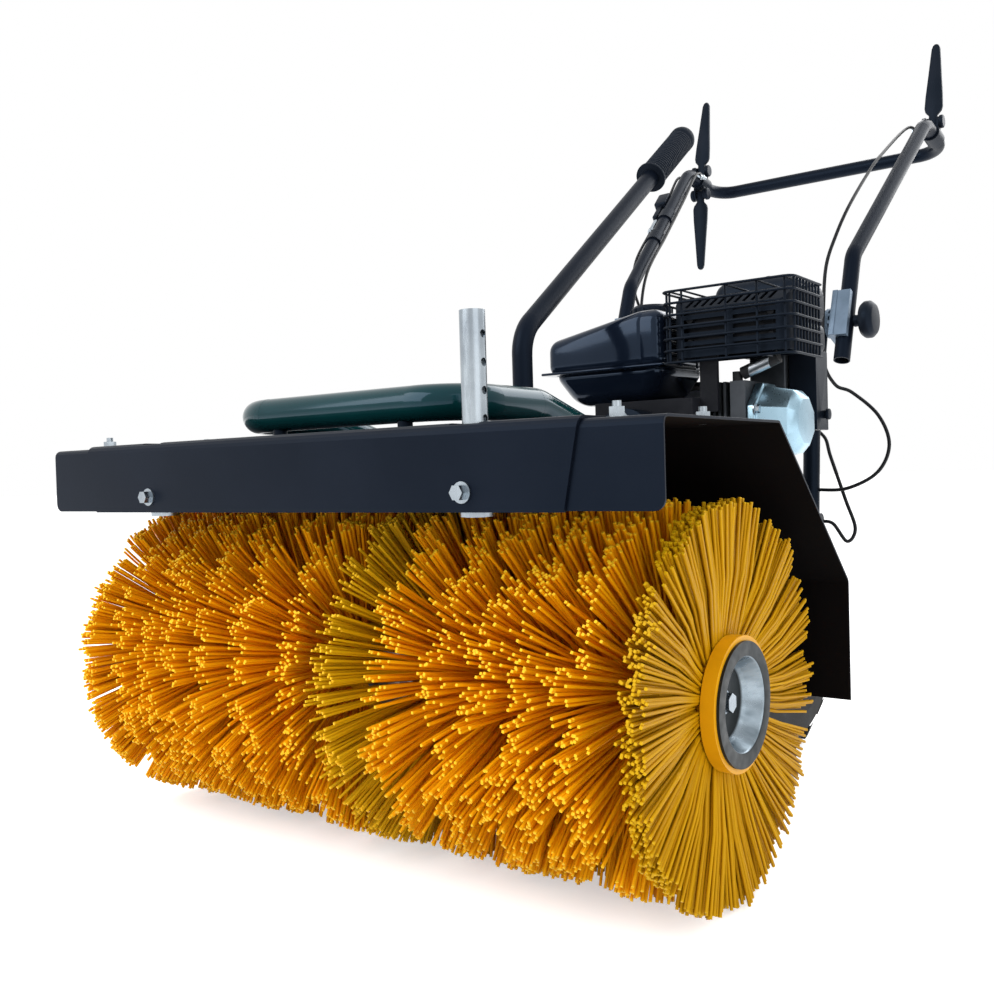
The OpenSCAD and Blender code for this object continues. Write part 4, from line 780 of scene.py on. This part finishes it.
def make_cage():
    """Welded wires: bent rows, and cross wires just inside them."""
    low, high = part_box("muffler_cage")
    r = 0.0018
    x0, x1 = low[0] + r, high[0] - r
    y0, y1 = low[1] + r, high[1] - r
    z0, z1 = low[2] + r, high[2] - r
    bend = 0.012

    def corner(cx, cy, start):
        turns = [math.radians(start + k * 30) for k in range(4)]
        return [(cx + bend * math.cos(a), cy + bend * math.sin(a)) for a in turns]

    rows = 7
    outline = [(x0, y1), *corner(x0 + bend, y0 + bend, 180),
               *corner(x1 - bend, y0 + bend, 270), (x1, y1)]
    heights = [z0 + (z1 - z0) * k / (rows - 1) for k in range(rows)]
    paths = [[Vector((x, y, z)) for x, y in outline] for z in heights]
    front = [x0 + bend, x0 + 0.03, (x0 + x1) / 2, x1 - 0.05, x1 - bend]
    right = [y0 + bend + (y1 - y0 - bend) * k / 8 for k in range(9)]
    left = [y0 + bend, (y0 + y1) / 2, y1]
    inside = 1.7 * r
    for x in front:
        paths.append([Vector((x, y0 + inside, z0)), Vector((x, y0 + inside, z1)),
                      Vector((x, y1, z1))])
    for y in right:
        paths.append([Vector((x1 - inside, y, z0)), Vector((x1 - inside, y, z1))])
    for y in left:
        paths.append([Vector((x0 + inside, y, z0)), Vector((x0 + inside, y, z1))])
    paths.append([Vector((x0, y1, z1)), Vector((x1, y1, z1))])
    foot = 0.026
    for x in (x0 + 0.04, x1 - 0.04):
        paths.append([Vector((x, y0, z0)), Vector((x, y0 + foot, z0)),
                      Vector((x, y0 + foot, z0 + 0.018))])
    wires = grown("muffler_cage_wires", tube_tree("cage_wires", SHIELD_BLACK),
                  {"Radius": r, "Sides": 8}, path_mesh("cage", paths))
    stand_for(wires, "muffler_cage")


def make_belt():
    """V belt round both pulleys."""
    top, low = at(95, 346, 464), at(0, 346, 247)
    r_top, r_low = 0.0343, 0.0433
    arc_steps, run_steps = 24, 16
    span = (low - top).length
    along = (low - top) / span
    lean = math.acos((r_top - r_low) / span)
    base = math.atan2(along.z, along.x)
    loop = []
    for centre, radius, start, sweep, far, far_radius in (
        (top, r_top, base + lean, 2 * math.pi - 2 * lean, low, r_low),
        (low, r_low, base - lean, 2 * lean, top, r_top),
    ):
        for k in range(arc_steps + 1):
            a = start + sweep * k / arc_steps
            out = Vector((math.cos(a), 0, math.sin(a)))
            loop.append((centre, radius, out))
        for k in range(1, run_steps):
            part = k / run_steps
            loop.append((centre.lerp(far, part), radius + (far_radius - radius) * part, out))
    bm = bmesh.new()
    section = [(0.0, -0.0058), (0.0, 0.0058), (-0.008, 0.0046), (-0.008, -0.0046)]
    rings = [
        [bm.verts.new(c + d * (r + rise) + Vector((0, across, 0))) for rise, across in section]
        for c, r, d in loop
    ]
    for a, b in zip(rings, rings[1:] + rings[:1]):
        for k in range(4):
            bm.faces.new((a[k], a[(k + 1) % 4], b[(k + 1) % 4], b[k]))
    belt = from_bmesh("drive_belt_loop", bm, RUBBER)
    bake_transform(belt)
    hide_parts("drive_belt")


def make_starter_rope():
    """A short end of rope that draws out between the starter housing and its handle."""
    low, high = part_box("recoil_handle")
    inside = Vector(((low[0] + high[0]) / 2, low[1] - 0.012, (low[2] + high[2]) / 2))
    outside = inside + Vector((0, 0.02, 0))
    rope = grown("starter_rope", tube_tree("rope", CABLE_SHEATH),
                 {"Radius": 0.002, "Sides": 10}, path_mesh("rope_path", [[inside, outside]]))
    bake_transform(rope)


# Handlebar, tiller and cables


def make_tiller_grip():
    """A ribbed rubber grip with a collar and a closed end."""
    slope = math.radians(37.2)
    way = Vector((0, math.cos(slope), math.sin(slope)))
    end = at(0, 226, 617) + 0.636 * way
    start = end - 0.155 * way
    collar = [(0.0142, 0.0), (0.0245, 0.0), (0.025, 0.002), (0.025, 0.004), (0.0235, 0.006),
              (0.021, 0.008)]
    rib = [(0.0198, 0.0), (0.0202, 0.0012), (0.0218, 0.002), (0.0218, 0.0038), (0.0202, 0.0046)]
    cap = [(0.0205, 0.141), (0.0222, 0.143), (0.0222, 0.153), (0.0205, 0.158), (0.014, 0.16),
           (0.0, 0.16)]
    ribs = 22
    feet = [0.012 + 0.126 * k / ribs for k in range(ribs)]
    profile = collar + [(r, foot + along) for foot in feet for r, along in rib] + cap
    bm = bmesh.new()
    add_turned(bm, profile, start, way, 48)
    stand_for(from_bmesh("tiller_grip_ribbed", bm, RUBBER, 50), "tiller_grip")


# Millimetres: the handlebar's rail stands this far from the middle, and the cables this far from it
RAIL_X = 262
OFF = 23
SLEEVE = 14 + 4 + 3 + 0.2
CABLE_R = 0.003


def arm_point(t, dx):
    """A point beside the right arm of the handlebar, from its bend at 0 to the rail at 1."""
    low, high = at(225, 939.946, 797.299), at(RAIL_X, 1300, 1112)
    p = low + t * (high - low)
    p.x += dx / 1000
    return p


def flipped(p):
    return Vector((-p.x, p.y, p.z))


def upright_point(dx, dy, dz):
    return at(180 + dx, 826 + dy, 358 + dz)


def tilt_point(dx, dy, dz):
    return at(225 + dx, 893 + dy, 675 + dz)


def clip_point(dx):
    return at(RAIL_X + dx, 1340, 1107)


def clip_below(dx):
    return at(RAIL_X + dx, 1292, 1105)


ROUTES = {
    "right_cable": [
        clip_point(-SLEEVE), at(233, 1282, 1106), tilt_point(3, 225, 342),
        tilt_point(-3, 155, 292), tilt_point(-10, 62, 215), tilt_point(-20, 18, 157),
        tilt_point(-28, -13, 100), tilt_point(-29, -28, 30), tilt_point(-26, -44, -65),
        upright_point(40, 18, 206), upright_point(70, 14, 190), upright_point(114, 9, 149),
        upright_point(132, 5, 99), upright_point(112, 5, 54), upright_point(62, 4, 28),
        upright_point(14.4, 4, 26),
    ],
    "left_cable": [
        flipped(clip_point(SLEEVE)), flipped(clip_below(OFF)), flipped(arm_point(0.8, OFF)),
        flipped(arm_point(0.5, OFF)), flipped(arm_point(0.22, OFF - 2)),
        flipped(tilt_point(15, 92, 125)), flipped(tilt_point(-11, 72, 65)),
        flipped(tilt_point(-25, 52, -25)), flipped(upright_point(-40, 70, 185)),
        at(0, 868, 505), upright_point(-30, 40, 137), upright_point(10, 40, 120),
        upright_point(28, 24, 82), upright_point(54, 16, 10), upright_point(72, 10, -40),
        upright_point(60, 3, -62), upright_point(38, 0, -32), upright_point(18.7, 0, -28),
    ],
    "lock_cable": [
        flipped(clip_point(-SLEEVE)), flipped(clip_below(-OFF)), flipped(arm_point(0.72, -OFF)),
        flipped(arm_point(0.4, -OFF)), flipped(arm_point(0.1, -OFF)),
        flipped(tilt_point(-29, 36, 60)), flipped(tilt_point(-37, 42, -20)),
        flipped(upright_point(-16, 58, 182)), flipped(upright_point(-40, -6, 82)),
        at(-110, 740, 380), at(-84, 640, 371), at(-72, 495, 365), at(-52, 352, 361.3),
    ],
}


def make_cables():
    tree = tube_tree("cable_sheaths", CABLE_SHEATH)
    for node, route in ROUTES.items():
        mesh = path_mesh(node + "_path", [smooth_path(route, 8)])
        cable = grown(node + "_sheath", tree, {"Radius": CABLE_R, "Sides": 12}, mesh)
        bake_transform(cable)
        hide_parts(node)


def make_ferrules():
    """Turned adjusters where the cables leave the lever brackets."""
    bm = bmesh.new()
    profile = [(0.0, 0.0), (0.0042, 0.0), (0.0042, 0.012), (0.006, 0.013), (0.006, 0.02),
               (0.0045, 0.021), (0.0045, 0.034), (0.0, 0.034)]
    for first, second, *_ in ROUTES.values():
        foot = first + 0.002 * (first - second).normalized()
        add_turned(bm, profile, foot, second - first, 24)
    ends = from_bmesh("cable_adjusters", bm, ZINC)
    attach(ends, "handle")


def make_arm_fittings():
    """An adjuster box on the left cable, its bright barrel and two bands round the left arm."""
    along = (arm_point(1, 0) - arm_point(0, 0)).normalized()
    front = Vector((0, -along.z, along.y))
    centre = flipped(arm_point(0.69, OFF + 4))
    along.x = -along.x
    across = along.cross(front)
    turn = Matrix((across, front, along)).transposed().to_4x4()

    def narrow(p):
        return Vector((0, 0, 0)) if p.z > 0 else Vector((-0.6 * p.x, -0.4 * p.y, 0))

    bm = bmesh.new()
    add_block(bm, (-0.014, -0.012, -0.052), (0.014, 0.015, 0.0), 0.003, 3, narrow)
    add_block(bm, (-0.014, -0.012, -0.003), (0.014, 0.015, 0.042), 0.004, 3)
    bmesh.ops.transform(bm, matrix=Matrix.Translation(centre) @ turn, verts=bm.verts)
    band = [(0.0141, 0.0), (0.0172, 0.0), (0.0172, 0.03), (0.0141, 0.03)]
    for t in (0.36, 0.55):
        add_turned(bm, band, flipped(arm_point(t, 0)), along, 32)
    box = from_bmesh("left_arm_adjuster", bm, BLACK_PLASTIC)
    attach(box, "handle")
    bm = bmesh.new()
    barrel = [(0.0, 0.0), (0.0046, 0.0), (0.0046, 0.006), (0.0068, 0.007), (0.0068, 0.014),
              (0.0056, 0.015), (0.0056, 0.05), (0.0, 0.05)]
    add_turned(bm, barrel, flipped(arm_point(0.46, OFF)), along, 24)
    rod = from_bmesh("left_arm_barrel", bm, ZINC)
    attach(rod, "handle")


RAIL_FALL = math.radians(7.61)
LEVER_LEAN = math.radians(5)
# Millimetres along the blade and half its width there
LEVER_OUTLINE = [(-9, 4), (-7, 7), (0, 8.6), (17, 8.6), (20, 11), (26, 16), (34, 18), (60, 17),
                 (110, 13), (150, 10), (168, 8.6), (175, 6), (178, 2.5)]


def lever_frame(side, up):
    """The pin of one lever, the way its blade points and the way its flat side faces."""
    pin = at(side * RAIL_X, 1364.4, 1103.4)
    pin += 0.028 * up * Vector((0, math.sin(RAIL_FALL), math.cos(RAIL_FALL)))
    lean = RAIL_FALL + up * LEVER_LEAN
    blade = up * Vector((0, math.sin(lean), math.cos(lean)))
    return pin, blade, Vector((1, 0, 0)).cross(blade)


LEVERS = {"right_lever": (1, 1), "left_lever": (-1, 1), "lock_lever": (-1, -1)}


def make_levers():
    """Flat blades that taper to a round tip, and the cheeks of their brackets."""
    half_thick = 0.0045
    cheek = [(0.0, 0.0), (0.0125, 0.0), (0.0135, 0.001), (0.0135, 0.006), (0.0115, 0.008),
             (0.0, 0.008)]
    rim = [(x, y) for y, x in LEVER_OUTLINE] + [(-x, y) for y, x in reversed(LEVER_OUTLINE)]
    cheeks = bmesh.new()
    for node, (side, up) in LEVERS.items():
        pin, blade, flat = lever_frame(side, up)
        bm = bmesh.new()
        rings = []
        for t in (-half_thick, half_thick):
            ring = []
            for x, y in rim:
                p = pin + Vector((x / 1000, 0, 0)) + y / 1000 * blade + t * flat
                ring.append(bm.verts.new(p))
            rings.append(ring)
            bm.faces.new(ring)
        back, front = rings
        for k in range(len(rim)):
            n = (k + 1) % len(rim)
            bm.faces.new((back[k], back[n], front[n], front[k]))
        bmesh.ops.recalc_face_normals(bm, faces=bm.faces)
        edges = [e for e in bm.edges if e.calc_face_angle(0.0) > 1.0]
        bmesh.ops.bevel(bm, geom=edges, offset=0.0025, segments=2, profile=0.5, affect="EDGES")
        stand_for(from_bmesh(node + "_blade", bm, BLACK_PLASTIC), node)
        for sign in (-1, 1):
            outer = Vector((sign, 0, 0))
            add_turned(cheeks, cheek, pin + 0.0132 * outer, outer, 32)
    cover = from_bmesh("lever_cheeks", cheeks, BLACK_PLASTIC)
    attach(cover, "handle")


# Bolt heads, nuts and rounded edges


def bolt_heads(name, places, across, head, flange):
    mesh = bpy.data.meshes.new(name)
    mesh.from_pydata([p for p, way in places], [], [])
    ways = mesh.attributes.new("way", "FLOAT_VECTOR", "POINT")
    for k, (p, way) in enumerate(places):
        ways.data[k].vector = way
    sizes = {"Across": across, "Head": head, "Flange": flange}
    piece = grown(name, bolt_tree(name + "_tree", ZINC), sizes, mesh)
    soften_shading(piece.data, 30)
    return piece


def make_bolts(name, body, places, across, head, flange):
    piece = bolt_heads(name, places, across, head, flange)
    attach(piece, body)


def make_fasteners():
    out_x, up, front = Vector((1, 0, 0)), Vector((0, 0, 1)), Vector((0, -1, 0))
    cover_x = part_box("valve_cover")[0][0] * 1000 + 12
    places = [(at(cover_x, 470 + dy, 488 + dz), out_x) for dy in (-53, 53) for dz in (-18, 18)]
    places += [(at(x, y, 368), up) for x in (17, 146) for y in (392, 540)]
    guard = ((95, 500), (68, 440), (122, 440), (40, 380))
    places += [(at(x, 328, z), front) for x, z in guard]
    make_bolts("engine_bolts", "chassis", places, 0.010, 0.006, 0.0085)
    axle_y, axle_z, face_x, circle_r, count = 555, 200, 215, 55, 5
    for side, body in ((1, "right_wheel"), (-1, "left_wheel")):
        nuts = []
        for k in range(count):
            a = 2 * math.pi * k / count
            y = axle_y + circle_r * math.cos(a)
            z = axle_z + circle_r * math.sin(a)
            nuts.append((at(side * face_x, y, z), Vector((side, 0, 0))))
        make_bolts(body + "_nuts", body, nuts, 0.017, 0.011, 0.013)


EDGE_WIDTHS = {
    "hood": 0.0007, "front_plate": 0.0008, "valve_cover": 0.003, "crankcase": 0.004,
    "control_housing": 0.004, "carburettor": 0.003, "swivel_yoke": 0.0015,
    "engine_deck": 0.0015, "tilt_plates": 0.0015, "transmission_case": 0.003,
    "gearbox_left": 0.0015, "gearbox_right": 0.0015, "belt_guard": 0.0012,
    "recoil_housing": 0.002, "left_knob": 0.002, "right_knob": 0.002, "fuel_cap": 0.0012,
}
SHEETS = ("hood", "front_plate")


def paint_inside_shade(mesh):
    """Gives the faces that look towards the brush a darker, duller paint: painted shade under the
    hood.
    """
    mesh.materials.append(SHADED_UNDERSIDE)
    for face in mesh.polygons:
        to_axis = Vector((0, BRUSH_Y - face.center.y, BRUSH_Z - face.center.z))
        if abs(face.normal.x) < 0.5 and face.normal.dot(to_axis.normalized()) > 0.3:
            face.material_index = 1


def round_edges():
    for node, width in EDGE_WIDTHS.items():
        piece = softened(node, width)
        if node in SHEETS:
            piece.data.shade_flat()
        if node == "hood":
            paint_inside_shade(piece.data)


# Studio


def white_to_lens(tree, shade, strength):
    """Adds white that only the lens, mirrors and glass see."""
    path = tree.nodes.new("ShaderNodeLightPath")
    seen = Field(tree, path.outputs["Is Camera Ray"])
    for ray in ("Is Glossy Ray", "Is Transmission Ray"):
        seen = seen.call("MAXIMUM", Field(tree, path.outputs[ray]))
    return seen * strength + (1.0 - seen) * shade


def make_studio():
    world = bpy.data.worlds.new("studio")
    bpy.context.scene.world = world
    world.use_nodes = True
    back = world.node_tree.nodes["Background"]
    back.inputs["Color"].default_value = (1, 1, 1, 1)
    feed(world.node_tree, back.inputs["Strength"], white_to_lens(world.node_tree, 1.0, 1.0))

    bm = bmesh.new()
    bmesh.ops.create_grid(bm, x_segments=1, y_segments=1, size=40)
    floor_paint = bpy.data.materials.new("pale_floor")
    floor_paint.use_nodes = True
    tree = floor_paint.node_tree
    shader = tree.nodes["Principled BSDF"]
    shader.inputs["Base Color"].default_value = (0.92, 0.92, 0.92, 1)
    shader.inputs["Roughness"].default_value = 0.9
    shader.inputs["Emission Strength"].default_value = 1.0
    feed(tree, shader.inputs["Emission Color"], white_to_lens(tree, 0.0, 0.5))
    floor = from_bmesh("floor", bm, floor_paint)

    target = at(0, 500, 450)
    for name, place, size, power in (
        ("key", at(-1200, -2300, 2300), 2.4, 60.0),
        ("fill", at(2300, -900, 1500), 2.0, 12.0),
        ("back", at(600, 2900, 2300), 2.4, 60.0),
    ):
        lamp = bpy.data.lights.new(name, "AREA")
        lamp.size = size
        lamp.energy = power
        holder = bpy.data.objects.new(name, lamp)
        holder.location = place
        holder.rotation_euler = (target - place).to_track_quat("-Z", "Y").to_euler()
        bpy.context.scene.collection.objects.link(holder)


def make_camera():
    """The photo's own view, worked out from the brush, the hood and the wheel."""
    yaw, pitch, roll = 0.6374, -0.0232, -0.0282
    sensor, focal_px, photo_px = 36.0, 1035.9, 994
    level = math.cos(pitch)
    ahead = Vector((-math.sin(yaw) * level, math.cos(yaw) * level, math.sin(pitch)))
    right = ahead.cross(Vector((0, 0, 1))).normalized()
    up = right.cross(ahead)
    turned_right = math.cos(roll) * right + math.sin(roll) * up
    turned_up = -math.sin(roll) * right + math.cos(roll) * up
    lens = bpy.data.cameras.new("photo_view")
    lens.sensor_width = sensor
    lens.lens = sensor * focal_px / photo_px
    lens.clip_end = 200
    holder = bpy.data.objects.new("photo_view", lens)
    turn = Matrix((turned_right, turned_up, -ahead)).transposed().to_4x4()
    holder.matrix_world = Matrix.Translation(at(808.72, -932.72, 428.63)) @ turn
    bpy.context.scene.collection.objects.link(holder)
    bpy.context.scene.camera = holder


bpy.context.scene.view_settings.view_transform = "Standard"
make_camera()
make_cables()
make_bristles()
make_cups()
make_tank()
make_air_cleaner()
make_cage()
make_belt()
make_starter_rope()
make_tiller_grip()
make_ferrules()
make_arm_fittings()
make_levers()
make_fasteners()
round_edges()
make_studio()
